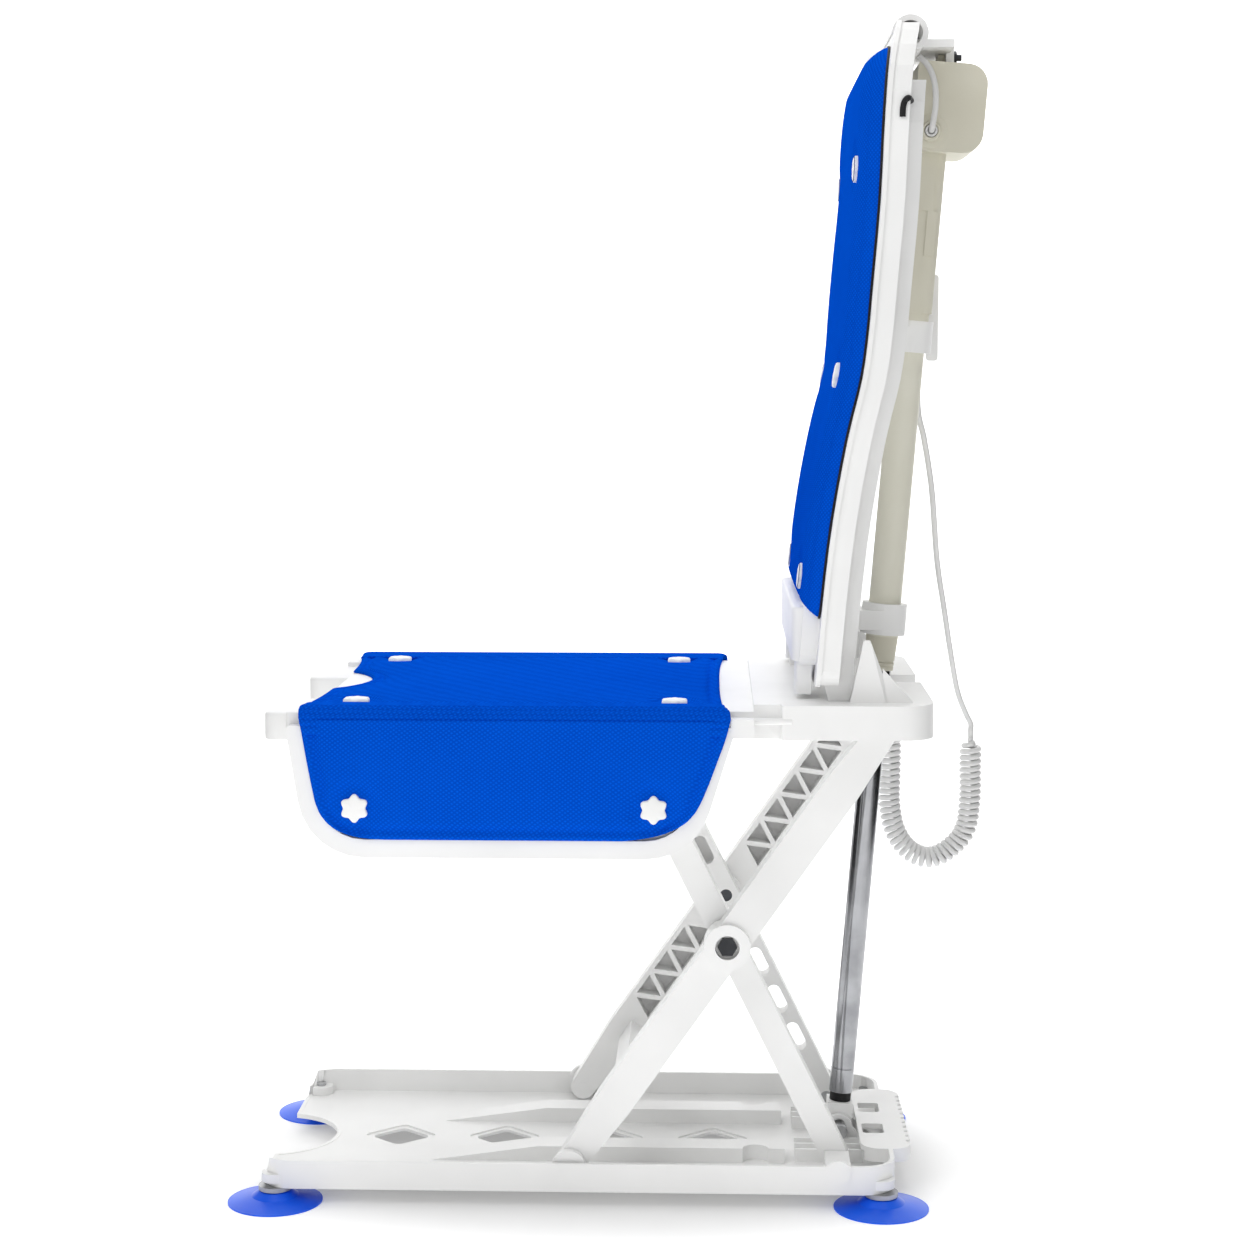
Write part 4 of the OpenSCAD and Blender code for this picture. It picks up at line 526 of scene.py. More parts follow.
def puff(obj, loose, cap, pressure):
    """Cloth pressure on the vertices that are loose (0 held, 1 free); none moves further than cap metres."""
    rest = np.array([v.co for v in obj.data.vertices])
    held = obj.vertex_groups.new(name="held")
    for i, share in enumerate(loose):
        held.add([i], 1 - float(share), "REPLACE")
    cloth = obj.modifiers.new("cloth", "CLOTH")
    cloth.settings.vertex_group_mass = "held"
    cloth.settings.use_pressure = True
    cloth.settings.uniform_pressure_force = pressure
    cloth.settings.effector_weights.gravity = 0
    cloth.settings.mass = 0.2
    for number in range(1, CLOTH_FRAMES + 1):
        bpy.context.scene.frame_set(number)
    seen = obj.evaluated_get(bpy.context.evaluated_depsgraph_get())
    moved = np.array([v.co for v in seen.data.vertices]) - rest
    far = np.linalg.norm(moved, axis=1)
    moved *= np.minimum(1, cap / np.maximum(far, 1e-9))[:, None]
    obj.modifiers.remove(cloth)
    obj.vertex_groups.clear()
    bpy.context.scene.frame_set(1)
    for vert, spot in zip(obj.data.vertices, rest + moved):
        vert.co = spot


def refine(obj):
    """One level of subdivision, applied."""
    step = obj.modifiers.new("refine", "SUBSURF")
    step.levels = 1
    step.render_levels = 1
    seen = obj.evaluated_get(bpy.context.evaluated_depsgraph_get())
    data = bpy.data.meshes.new_from_object(seen)
    obj.modifiers.remove(step)
    obj.data = data


print("cloth runs for", CLOTH_FRAMES, "frames, or not at all in a quick look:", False)

# %% [markdown]
# ### Seat cover
# A thin pressed pad lies in the sunk middle of the seat, with a notch in its front edge and a dimple
# under each knob. Its edge shows a bead, a groove and then the full face. A bevel would give one round
# only, so the height is read from a short table of distances from the edge.

# %% Seat cover
SEAT_Z = 460.0
SEAT_T = 5.0
PAD_X0, PAD_X1, PAD_HALF = -228.0, 128.0, 178.0
NOTCH_HALF, NOTCH_DEPTH = 68.0, 27.0
seat_knobs = [(x, y) for x in (-193, 88) for y in (-150, 150)]
KNOB_ROOM = 17.0
SEAT_DIMPLE = 3.2
PRESS_AT = [0, 1, 3, 5.5, 7.5, 9.5, 13, 18]
PRESS_SHARE = [0.2, 0.6, 0.8, 0.74, 0.4, 0.4, 0.88, 1.0]
# Most that the thin covers may swell, in metres, and the cloth's pressure
THIN_SWELL, PRESSURE = 0.0012, 2.0


def seat_ends(y):
    """Front and rear edge of the cover at y: both flare towards the folds, and the front has a notch."""
    flare = (abs(y) / PAD_HALF) ** 3
    notch = NOTCH_DEPTH * max(0.0, 1 - (y / NOTCH_HALF) ** 2) ** 0.8
    return PAD_X0 - 8 * flare + notch, PAD_X1 + 4 * flare


def seat_place(u, v):
    y = PAD_HALF * crowd(v)
    x0, x1 = seat_ends(y)
    return x0 + (x1 - x0) * (crowd(u) + 1) / 2, y


def seat_rim(x, y):
    """Distance from the cover's edge."""
    x0, x1 = seat_ends(y)
    return max(0.0, min(0.85 * (x - x0), x1 - x, PAD_HALF - abs(y)))


def pressed(d):
    """Share of a pressed cover's thickness at d from its edge: a bead, a groove, then the full face."""
    return float(np.interp(d, PRESS_AT, PRESS_SHARE))


def seat_face(u, v):
    x, y = seat_place(u, v)
    d = seat_rim(x, y)
    z = SEAT_Z + SEAT_T * pressed(d)
    z -= SEAT_DIMPLE * (1 - ease((spot_distance(seat_knobs, x, y) - KNOB_ROOM) / 9)) * ease(d / 4)
    return x, y, z


def seat_back(u, v):
    x, y = seat_place(u, v)
    return x, y, SEAT_Z + 0.15


seat_pad = pad("seat_pad", 110, 120, seat_face, seat_back)
seat_spots = in_mm([v.co for v in seat_pad.data.vertices])
seat_free = [0.0 if z < SEAT_Z + 1 else ease((seat_rim(x, y) - 12) / 8)
             * ease((spot_distance(seat_knobs, x, y) - KNOB_ROOM - 8) / 6) for x, y, z in seat_spots]
puff(seat_pad, seat_free, THIN_SWELL, PRESSURE)
print("seat cover with", len(seat_pad.data.vertices), "points,", round(sum(seat_free)), "of them free")

# %% [markdown]
# ### Flap covers
# The same pressed pad hangs on the outer face of each flap. Its ends lean in towards the bottom, more at
# the rear than at the front, and its lower corners are round. A Mirror modifier would tie the two
# together, but each rides on a body of its own, so one function makes both, with a sign for the side.

# %% Flap covers
FLAP_Y = 206.3
FLAP_T = 5.0
FLAP_DIMPLE = 2.6
FLAP_TOP, FLAP_LOW = 455.0, 350.0
flap_front = [(350, -160), (350.6, -172), (352, -184), (354.4, -194), (358, -203), (363.7, -211),
              (372, -217.6), (382.7, -221.7), (397.4, -224.6), (418.5, -228.5), (441.6, -232.3),
              (455, -234.5)]
flap_rear = [(350, 44), (351.6, 56), (353.4, 68.8), (356.8, 81.3), (361.6, 91.6), (366.9, 99.9),
             (375.3, 107.1), (384.8, 112.3), (399.5, 118.4), (416.3, 124.6), (433, 130.7), (442.5, 133.8),
             (455, 136.8)]
flap_knobs = [(x, 378) for x in (-187, 71)]


def flap_ends(z):
    x0 = float(np.interp(z, [p[0] for p in flap_front], [p[1] for p in flap_front]))
    x1 = float(np.interp(z, [p[0] for p in flap_rear], [p[1] for p in flap_rear]))
    return x0, x1


def flap_place(u, v):
    z = FLAP_LOW + (FLAP_TOP - FLAP_LOW) * (crowd(v) + 1) / 2
    x0, x1 = flap_ends(z)
    return x0 + (x1 - x0) * (crowd(u) + 1) / 2, z


def flap_rim(x, z):
    """Distance from the cover's lower and side edges."""
    x0, x1 = flap_ends(z)
    return max(0.0, min(0.95 * (x - x0), 0.95 * (x1 - x), z - FLAP_LOW + 0.2))


def flap_pad(name, sign):
    def face(u, v):
        x, z = flap_place(u, v)
        d = flap_rim(x, z)
        out = FLAP_T * pressed(d)
        out -= FLAP_DIMPLE * (1 - ease((spot_distance(flap_knobs, x, z) - KNOB_ROOM) / 9)) * ease(d / 4)
        return x, sign * (FLAP_Y + out), z

    def back(u, v):
        x, z = flap_place(u, v)
        return x, sign * FLAP_Y, z

    made = pad(name, 96, 40, face, back)
    spots = in_mm([v.co for v in made.data.vertices])
    free = [0.0 if abs(y) < FLAP_Y + 1 else ease((flap_rim(x, z) - 12) / 8) * ease((FLAP_TOP - z) / 12)
            * ease((spot_distance(flap_knobs, x, z) - KNOB_ROOM - 8) / 6) for x, y, z in spots]
    puff(made, free, THIN_SWELL, PRESSURE)
    return made


flap_pads = {"left_flap": flap_pad("flap_pad_left", -1), "right_flap": flap_pad("flap_pad_right", 1)}
print("flap covers", [len(p.data.vertices) for p in flap_pads.values()], "points")

# %% [markdown]
# ### Folds over the hinges
# One strip of cover cloth on each side runs over the hinge; five pressed creases run along it. If the
# seat's pad went on over the hinge, it would have to bend whole. A strip of its own hides the seam of the
# two pads.

# %% Folds over the hinges
# Ends of the strip along X at shares of its length, from the seat to the flap
fold_shares = [0, 0.4, 0.6, 0.75, 0.87, 1]
fold_front = [-235.5, -236, -235.8, -235, -233.6, -231.8]
fold_rear = [132, 133, 136.6, 137.3, 135.6, 133.4]
fold_line = smooth_line([(0, 166, 464.6), (0, 178, 465.2), (0, 190, 466), (0, 198, 465.6), (0, 204, 463),
                         (0, 208.5, 458.5), (0, 210.8, 453), (0, 211.3, 447), (0, 211.4, 442)], 8)
fold_sums = np.concatenate([[0], np.cumsum(np.linalg.norm(np.diff(fold_line, axis=0), axis=1))])
FOLD_L = fold_sums[-1]
CREASES = [0.52, 0.61, 0.70, 0.79, 0.88]
CREASE_DEPTH, CREASE_WIDTH = 1.3, 1.1
FOLD_T = 3.0


def fold_at(s, inward):
    """Point of the fold's section at the share s of its length, moved in by some millimetres."""
    d = s * FOLD_L
    (y, z), (y1, z1), (y2, z2) = [[float(np.interp(d + step, fold_sums, fold_line[:, k])) for k in (1, 2)]
                                  for step in (0, -0.5, 0.5)]
    run = math.hypot(y2 - y1, z2 - z1)
    return y + (z2 - z1) / run * inward, z - (y2 - y1) / run * inward


def fold_strip(name, sign):
    def ends(s):
        return float(np.interp(s, fold_shares, fold_front)), float(np.interp(s, fold_shares, fold_rear))

    def face(u, v):
        s = (v + 1) / 2
        sunk = sum(CREASE_DEPTH * math.exp(-((s - c) * FOLD_L / CREASE_WIDTH) ** 2) for c in CREASES)
        x0, x1 = ends(s)
        x = x0 + (x1 - x0) * (crowd(u) + 1) / 2
        d = min(x - x0, x1 - x)
        y, z = fold_at(s, sunk + 1.2 * (1 - ease(d / 5)))
        return x, sign * y, z

    def back(u, v):
        s = (v + 1) / 2
        x0, x1 = ends(s)
        x = x0 + (x1 - x0) * (crowd(u) + 1) / 2
        y, z = fold_at(s, FOLD_T)
        return x, sign * y, z

    return pad(name, 60, 72, face, back)


folds = {"left_flap": fold_strip("fold_left", -1), "right_flap": fold_strip("fold_right", 1)}
print("folds", round(float(FOLD_L), 1), "mm from the seat to the flap")

# %% [markdown]
# ### Back cover
# A crowned foam pad covers the curved panel. Along each side a groove, a ridge and a second groove run
# down to a lip that wraps to the white flange. A lofted curve could give the panel's bend, but not the
# grooves as well. So the pad follows the source's profile, and a table of heights over the distance from
# the side gives the grooves.

# %% Back cover
BACK_FOOT_X, BACK_FOOT_Z, BACK_H, BACK_SWEEP = 210.0, 480.0, 578.0, 80.0
back_shares = [(0, 0), (0.13, 0.075), (0.25, 0.175), (0.37, 0.325), (0.46, 0.475), (0.53, 0.54),
               (0.59, 0.575), (0.72, 0.65), (0.85, 0.69), (0.93, 0.75), (1, 0.87)]
back_spine = [(BACK_FOOT_X + b * BACK_SWEEP, BACK_FOOT_Z + a * BACK_H) for a, b in back_shares]
back_line = smooth_line(back_spine, 6)
BACK_Z0, BACK_Z1 = 539.0, 1033.0
BACK_HALF = 174.5
BACK_TOP_R, BACK_LOW_R = 74.0, 18.0
BACK_CROWN, BACK_DIMPLE = 2.2, 3.4
back_knobs = [(y, BACK_FOOT_Z + s * BACK_H) for y in (-122, 122) for s in (0.16, 0.465, 0.773)]
# Height in front of the flange against the distance from the side edge
side_profile = [(0, 0.7), (0.4, 2.4), (1.4, 4.6), (3, 7), (5.5, 10), (8.5, 12.2), (10.5, 12.0),
                (12.5, 13.4), (15, 16.2), (17.5, 17.3), (19.5, 16.6), (21.5, 17.8), (25, 19.6),
                (32, 20.6)]


def draw_in(r, d):
    """How far an arc of radius r draws in an edge at the distance d from its end."""
    d = min(max(d, 0.0), r)
    return r - math.sqrt(r * r - (r - d) ** 2)


def back_x(z):
    return float(np.interp(z, back_line[:, 1], back_line[:, 0]))


def back_half(z):
    return BACK_HALF - draw_in(BACK_TOP_R, BACK_Z1 - z) - draw_in(BACK_LOW_R, z - BACK_Z0)


def back_place(u, v):
    z = BACK_Z0 + (BACK_Z1 - BACK_Z0) * (crowd(v) + 1) / 2
    return back_half(z) * (math.sin(math.pi / 2 * u) * 0.7 + u * 0.3), z


def back_out(y, z):
    """How far the cover's face stands in front of the flange."""
    side = float(np.interp(back_half(z) - abs(y), *zip(*side_profile)))
    ends = 0.7 + 19.9 * ease(min(BACK_Z1 - z, z - BACK_Z0) / 22) ** 0.5
    crown = BACK_CROWN * (1 - min(1, abs(y) / 150) ** 2.6) * ease(min(BACK_Z1 - z, z - BACK_Z0) / 70)
    out = min(side, ends) + crown
    return out - BACK_DIMPLE * (1 - ease((spot_distance(back_knobs, y, z) - KNOB_ROOM) / 12))


def back_face(u, v):
    y, z = back_place(u, v)
    return back_x(z) - back_out(y, z), y, z


def back_rear(u, v):
    y, z = back_place(u, v)
    inside = ease(min(back_half(z) - abs(y), BACK_Z1 - z, z - BACK_Z0) / 16)
    return back_x(z) - 0.4 - 15.2 * inside, y, z


back_pad = pad("back_pad", 84, 120, back_face, back_rear)
back_spots = in_mm([v.co for v in back_pad.data.vertices])
back_free = [0.0 if x > back_x(z) - 17 else ease((back_half(z) - abs(y) - 24) / 12)
             * ease((min(BACK_Z1 - z, z - BACK_Z0) - 24) / 16)
             * ease((spot_distance(back_knobs, y, z) - KNOB_ROOM - 10) / 8) for x, y, z in back_spots]
BACK_SWELL = 0.002
puff(back_pad, back_free, BACK_SWELL, PRESSURE)
print("back cover with", len(back_pad.data.vertices), "points,", round(sum(back_free)), "of them free")

# %% [markdown]
# ### Covers on their bodies
# Every cover takes the cloth's finish. The seat's, the back's and the flaps' covers ride on their bodies;
# the folds on none.

# %% Covers on their bodies
for piece in [seat_pad, back_pad, *flap_pads.values(), *folds.values()]:
    refine(piece)
    dress(piece, "blue_cover")
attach(seat_pad, "seat")
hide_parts("seat_cover")
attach(back_pad, "backrest")
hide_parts("back_cover")
for body, side, sign in (("left_flap", "left", -1), ("right_flap", "right", 1)):
    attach(flap_pads[body], body)
    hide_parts("flap_cover_" + side)
    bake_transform(folds[body], "seat", body, start=tuple(row([0, sign * 196, 467])),
             end=tuple(row([0, sign * 211, 450])))
print("covers on their bodies, the seat's now with", len(seat_pad.data.vertices), "points")

# %% [markdown]
# ### Dark backing of the back cover
# The back cover is sewn to a dark backing, which shows as a thin line where its lip meets the white
# flange. A darker colour at the rim would blur with the weave. A thin tube round the cover's outline,
# half sunk under the lip, gives a crisp line.

# %% Dark backing of the back cover
WELT_R = 1.3
up_side = [back_place(1, v) for v in np.linspace(-1, 1, 90)]
top_half, foot_half = up_side[-1][0], up_side[0][0]
over_top = [(y, BACK_Z1) for y in np.linspace(top_half, -top_half, 14)[1:-1]]
down_side = [(-y, z) for y, z in up_side[::-1]]
under_foot = [(y, BACK_Z0) for y in np.linspace(-foot_half, foot_half, 18)[1:-1]]
welt_line = up_side + over_top + down_side + under_foot + up_side[:1]
welt_path = row([(back_x(z) - 0.9, y, z) for y, z in welt_line])
welt = dress(tube("back_welt", welt_path, WELT_R / 1000, 8, ALONG_X), "black_rubber")
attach(welt, "backrest")
print("backing line of", round(line_length(welt_path), 3), "m")

# %% [markdown]
# ## Star knobs
# Shallow six-pointed knobs of moulded plastic hold the covers down in their dimples. A Boolean of six
# cuts would leave a rough rim. A circle is drawn in between its points instead, then raised three times,
# smaller each time, which gives a thin rim and a low dome. All the knobs of a cover are one piece, as in
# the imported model.

# %% Star knobs
KNOB_R = 12.4
KNOB_POINTS, KNOB_WAIST = 6, 0.11


def star_knob(bm, spot, way, rise):
    """Adds one knob: spot and rise in millimetres, way is the direction it faces."""
    before = len(bm.verts)
    rim = bmesh.ops.create_circle(bm, cap_ends=True, segments=60, radius=KNOB_R / 1000)["verts"]
    for vert in rim:
        vert.co *= 1 - KNOB_WAIST - KNOB_WAIST * math.cos(KNOB_POINTS * math.atan2(vert.co.y, vert.co.x))
    face = rim[0].link_faces[0]
    keep = True
    for lift, shrink in ((0.62, 1.0), (0.24, 0.92), (0.14, 0.65)):
        grown = bmesh.ops.extrude_face_region(bm, geom=[face], use_keep_orig=keep)["geom"]
        face = [g for g in grown if isinstance(g, bmesh.types.BMFace)][0]
        bmesh.ops.scale(bm, verts=face.verts, vec=(shrink, shrink, 1))
        bmesh.ops.translate(bm, verts=face.verts, vec=(0, 0, lift * rise / 1000))
        keep = False
    bmesh.ops.poke(bm, faces=[face], offset=0.0)
    turn = Vector((0, 0, 1)).rotation_difference(Vector(way)).to_matrix()
    made = list(bm.verts)[before:]
    bmesh.ops.rotate(bm, verts=made, cent=(0, 0, 0), matrix=turn)
    bmesh.ops.translate(bm, verts=made, vec=row(spot))


def knob_set(name, body, node, knobs):
    """One piece with all the knobs of a cover; knobs are (spot, way, rise)."""
    bm = bmesh.new()
    for spot, way, rise in knobs:
        star_knob(bm, spot, way, rise)
    made = dress(finished(name, bm, crease=40), "white_plastic")
    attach(made, body)
    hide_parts(node)


def back_knob(y, z):
    slope = (back_x(z + 2) - back_x(z - 2)) / 4
    way = Vector((-1, 0, slope)).normalized()
    return (back_x(z) - back_out(y, z) + 0.6, y, z), way, 5.0


knob_set("seat_stars", "seat", "seat_knobs", [((x, y, SEAT_Z + 1.4), (0, 0, 1), 5.2) for x, y in seat_knobs])
for side, sign in (("left", -1), ("right", 1)):
    knob_set("flap_stars_" + side, side + "_flap", "flap_knobs_" + side,
             [((x, sign * (FLAP_Y + 1.8), z), (0, sign, 0), 5.4) for x, z in flap_knobs])
knob_set("back_stars", "backrest", "back_knobs", [back_knob(y, z) for y, z in back_knobs])
print(len(seat_knobs) + 2 * len(flap_knobs) + len(back_knobs), "star knobs")

# %% [markdown]
# ## Front of the seat
# The seat frame ends in two rounded horns with a gap between them, in front of the cover's notch. Its bar
# could be hidden behind new blocks, but the gap has to be open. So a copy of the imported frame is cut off
# behind the bar and closed, and it is given a front wall, the horns and the ears that hold the flaps'
# pins, all boxes with rounded edges. The brackets for the backrest are made slimmer at their tops.

# %% Front of the seat
FRAME_END = -226.0
CHEEK_X, CHEEK_Z, CHEEK_TRIM = 262.0, 515.0, 8.0
HORN_LOW, HORN_HIGH = (-274.0, 72.0, 430.5), (-225.0, 167.0, 454.5)
WALL_LOW, WALL_HIGH = (-228.0, -190.0, 434.0), (-225.0, 190.0, 459.4)
EAR_LOW, EAR_HIGH = (-249.0, 164.0, 441.0), (-225.0, 194.0, 459.0)


def block(bm, low, high, corner, edge):
    """Adds a box in millimetres with its front upright edges rounded by corner and the others by edge."""
    before = len(bm.verts)
    made = bmesh.ops.create_cube(bm, size=1.0)["verts"]
    low, high = row(low), row(high)
    for vert in made:
        vert.co = Vector(low + (np.array(vert.co) + 0.5) * (high - low))
    front = dict.fromkeys(e for v in made for e in v.link_edges
                          if all(abs(w.co.x - low[0]) < 1e-6 for w in e.verts)
                          and abs(e.verts[0].co.z - e.verts[1].co.z) > 1e-6)
    bmesh.ops.bevel(bm, geom=list(front), offset=corner / 1000, offset_type="OFFSET", segments=6,
                    profile=0.5, affect="EDGES", material=-1)
    made = list(bm.verts)[before:]
    sharp = dict.fromkeys(e for v in made for e in v.link_edges if e.calc_face_angle(0) > 0.7)
    bmesh.ops.bevel(bm, geom=list(sharp), offset=edge / 1000, offset_type="OFFSET", segments=3, profile=0.5,
                    affect="EDGES", material=-1)


def flipped(low, high):
    """The same box on the other side of the middle plane."""
    return (low[0], -high[1], low[2]), (high[0], -low[1], high[2])


def merged_copy(node):
    """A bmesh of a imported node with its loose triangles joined."""
    bm = bmesh.new()
    bm.from_mesh(nodes[node].data)
    bmesh.ops.remove_doubles(bm, verts=bm.verts, dist=1e-6)
    return bm


bm = merged_copy("seat_frame")
parts = bm.verts[:] + bm.edges[:] + bm.faces[:]
cut = bmesh.ops.bisect_plane(bm, geom=parts, dist=1e-7, plane_co=row([FRAME_END, 0, 0]),
                             plane_no=(-1, 0, 0), clear_outer=True)["geom_cut"]
bmesh.ops.triangle_fill(bm, edges=[g for g in cut if isinstance(g, bmesh.types.BMEdge)], use_beauty=True)
block(bm, WALL_LOW, WALL_HIGH, 0.8, 0.8)
for low, high in ((HORN_LOW, HORN_HIGH), flipped(HORN_LOW, HORN_HIGH)):
    block(bm, low, high, 15.0, 3.2)
for low, high in ((EAR_LOW, EAR_HIGH), flipped(EAR_LOW, EAR_HIGH)):
    block(bm, low, high, 5.0, 2.0)
for vert in bm.verts:
    x, y, z = in_mm(vert.co)
    if z > CHEEK_Z and x > CHEEK_X:
        vert.co.x -= CHEEK_TRIM / 1000
seat_shell = dress(finished("seat_shell", bm, crease=32), "white_plastic")
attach(seat_shell, "seat")
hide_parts("seat_frame")
print("seat shell with", len(seat_shell.data.polygons), "faces")

# %% [markdown]
# ## Foot of the backrest
# Below its cover the shell swells into a plain foot, as thick as the cover, on two lugs. Pulling the
# packed panel out there would drag its thin walls along. Boxes with rounded edges, sunk into the panel,
# look the same and stay sound.

# %% Foot of the backrest
FOOT_LOW, FOOT_HIGH = (190.0, -152.0, 500.0), (214.0, 152.0, 548.0)
LUG_LOW, LUG_HIGH = (194.0, 116.0, 470.0), (208.0, 146.0, 503.0)
bm = bmesh.new()
block(bm, FOOT_LOW, FOOT_HIGH, 7.0, 2.5)
for low, high in ((LUG_LOW, LUG_HIGH), flipped(LUG_LOW, LUG_HIGH)):
    block(bm, low, high, 3.0, 1.5)
back_foot = dress(finished("back_foot", bm, crease=32), "white_plastic")
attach(back_foot, "backrest")
print("foot", [b - a for a, b in zip(FOOT_LOW, FOOT_HIGH)], "mm")

# %% [markdown]
# ## Plug and jumper of the drive
# A beige socket stands on the side of the motor head. The white plug in it sends a short lead up in a
# bow, which goes in under the hood, and a black strain relief hooks over the shell's edge. Cylinders with
# bevels would make the rings; spinning a drawn section takes fewer steps and gives the lips too. The
# relief lies on the shell, so rays find its depth there.

# %% Plug and jumper of the drive
SOCKET = (315.0, -46.0, 966.5)
OUT = (0, -1, 0)
SPIN_STEPS = 64
JUMPER_R, RELIEF_R, RELIEF_OUT = 2.7, 2.6, 0.6


def turned(name, spot, way, section, slot):
    """A turned piece: section gives (radius, distance along way) from spot, in millimetres."""
    way = Vector(way).normalized()
    side = way.orthogonal().normalized()
    bm = bmesh.new()
    line = [bm.verts.new(Vector(row(spot)) + (side * r + way * out) / 1000) for r, out in section]
    edges = [bm.edges.new(pair) for pair in zip(line, line[1:])]
    bmesh.ops.spin(bm, geom=line + edges, cent=row(spot), axis=way, angle=2 * math.pi, steps=SPIN_STEPS,
                   use_merge=True)
    bmesh.ops.remove_doubles(bm, verts=bm.verts, dist=2e-6)
    return dress(finished(name, bm, crease=40), slot)


socket_section = [(0.01, -3), (15, -3), (15, 0.5), (14.2, 0.9), (9.4, 0.9), (8.7, 5), (7.9, 6.2),
                  (6.6, 6.2), (5.9, 5.2), (5.8, 1.5), (0.01, 1.5)]
plug_section = [(0.01, 1), (5.5, 1), (5.5, 7), (5.0, 8), (4.0, 8.2), (3.4, 7.4), (3.2, 4), (0.01, 4)]
jumper_spots = [(315, -50, 966.5), (315.1, -55, 967.2), (315.4, -58.6, 970.6), (316.2, -59.6, 976),
                (317.6, -59.6, 986), (317.8, -58.4, 999), (316.4, -55.6, 1010), (313.4, -52, 1019.5),
                (309, -47.5, 1027), (304, -43, 1032)]
socket = turned("plug_socket", SOCKET, OUT, socket_section, "beige_plastic")
plug = turned("plug_body", SOCKET, OUT, plug_section, "cord_white")
jumper_path = row(smooth_line(jumper_spots, 10))
jumper = dress(tube("plug_jumper", jumper_path, JUMPER_R / 1000, 14, ALONG_X), "cord_white")
relief_spots = [(288, 981.5), (284, 981.2), (281, 978.5), (279.6, 974), (279.2, 969), (279.2, 965.5)]
relief_line = []
for x, z in relief_spots:
    hit, spot, way, face = nodes["back_shell"].ray_cast(Vector(row([x, -400, z])), Vector((0, 1, 0)))
    relief_line.append((x, spot.y * 1000 - RELIEF_OUT if hit else relief_line[-1][1], z))
relief_path = row(smooth_line(relief_line, 8))
relief = dress(tube("jumper_relief", relief_path, RELIEF_R / 1000, 12, ALONG_Y), "black_rubber")
print("strain relief", [tuple(round(float(c), 1) for c in spot) for spot in relief_line])
for piece in (socket, plug, jumper, relief):
    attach(piece, "backrest")
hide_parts("cord_plug")

# %% [markdown]
# ## Rod and foot pin
# The rod is a chromed steel tube with a seam where its collar is screwed on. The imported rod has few
# sides, and a mirror shows every facet; shading it smooth would bend the bands at its ends. So its
# section is spun again in many steps. The foot pin ends in a thick turned head on each side and is spun
# the same way.

# %% Rod and foot pin
ROD_FOOT = (243.0, 0.0, 38.0)
rod_section = [(0.01, 30), (10.3, 30), (11, 30.7), (11, 53.4), (10.5, 53.8), (10.5, 54.4), (11, 54.8),
               (11, 499.3), (10.4, 500), (8, 500), (8, 62), (0.01, 62)]
rod = turned("rod_chrome", ROD_FOOT, drive_way, rod_section, "chrome_rod")
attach(rod, "rod")
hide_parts("rod_tube")
pin_half = [(5.5, 24.8), (6.9, 25.2), (7.4, 26), (7.4, 33), (6.6, 34.2), (0.01, 34.2)]
pin_section = [(r, -out) for r, out in pin_half[::-1]] + pin_half
pin = turned("foot_bolt", ROD_FOOT, OUT, pin_section, "steel")
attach(pin, "base")
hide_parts("foot_pin")
print("rod with", len(rod.data.polygons), "faces, pin with", len(pin.data.polygons))

# %% [markdown]
# ## Open front of the tray
# The tray's wall ends at its two front corners, and its floor runs open into the notch. A Boolean would
# cut the wall away and leave seams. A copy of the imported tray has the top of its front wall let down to
# the floor instead, so that no face is added or lost.

# %% Open front of the tray
FLOOR_Z, WALL_TOP = 20.0, 40.0
LET_DOWN = FLOOR_Z + 0.4
NOTCH_X, NOTCH_REACH = -301.5, 67.5
FRONT_X, FRONT_HALF = -262.0, 136.0
bm = merged_copy("base_tray")
for vert in bm.verts:
    x, y, z = in_mm(vert.co)
    in_notch = math.hypot(x - NOTCH_X, y) < NOTCH_REACH
    if z > WALL_TOP and (in_notch or (x < FRONT_X and abs(y) < FRONT_HALF)):
        vert.co.z = LET_DOWN / 1000
tray = dress(finished("tray_open", bm, crease=32), "white_plastic")
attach(tray, "base")
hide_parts("base_tray")
print("tray with its front wall down at", LET_DOWN, "mm")

# %% [markdown]
# ## Slim inner legs
# Each inner leg is an even bar, as wide as its lower end, and the left one is plain on its outer face.
# New bars would have to meet the bolts and rollers again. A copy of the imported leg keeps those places:
# its sides are pressed in to one width, and on the left the walls of the through openings go and the
# holes that stay are filled.

# %% Slim inner legs
LEG_FOOT, LEG_HEAD = np.array([236.0, 36.0]), np.array([35.1, 442.0])
LEG_HALF = 12.2
# An opening's wall is this long along the leg, and as deep as the leg is thick
OPENING_MIN, OPENING_MAX, OPENING_DEEP = 24, 40, 21
leg_way = (LEG_HEAD - LEG_FOOT) / np.linalg.norm(LEG_HEAD - LEG_FOOT)
leg_side = np.array([leg_way[1], -leg_way[0]])


def wall_groups(bm):
    """Groups of joined faces that run across the leg's thickness."""
    left = {f for f in bm.faces if abs(f.normal.y) < 0.1}
    while left:
        group, edge = set(), [left.pop()]
        while edge:
            face = edge.pop()
            group.add(face)
            near = {g for e in face.edges for g in e.link_faces} & left
            left -= near
            edge += near
        yield group


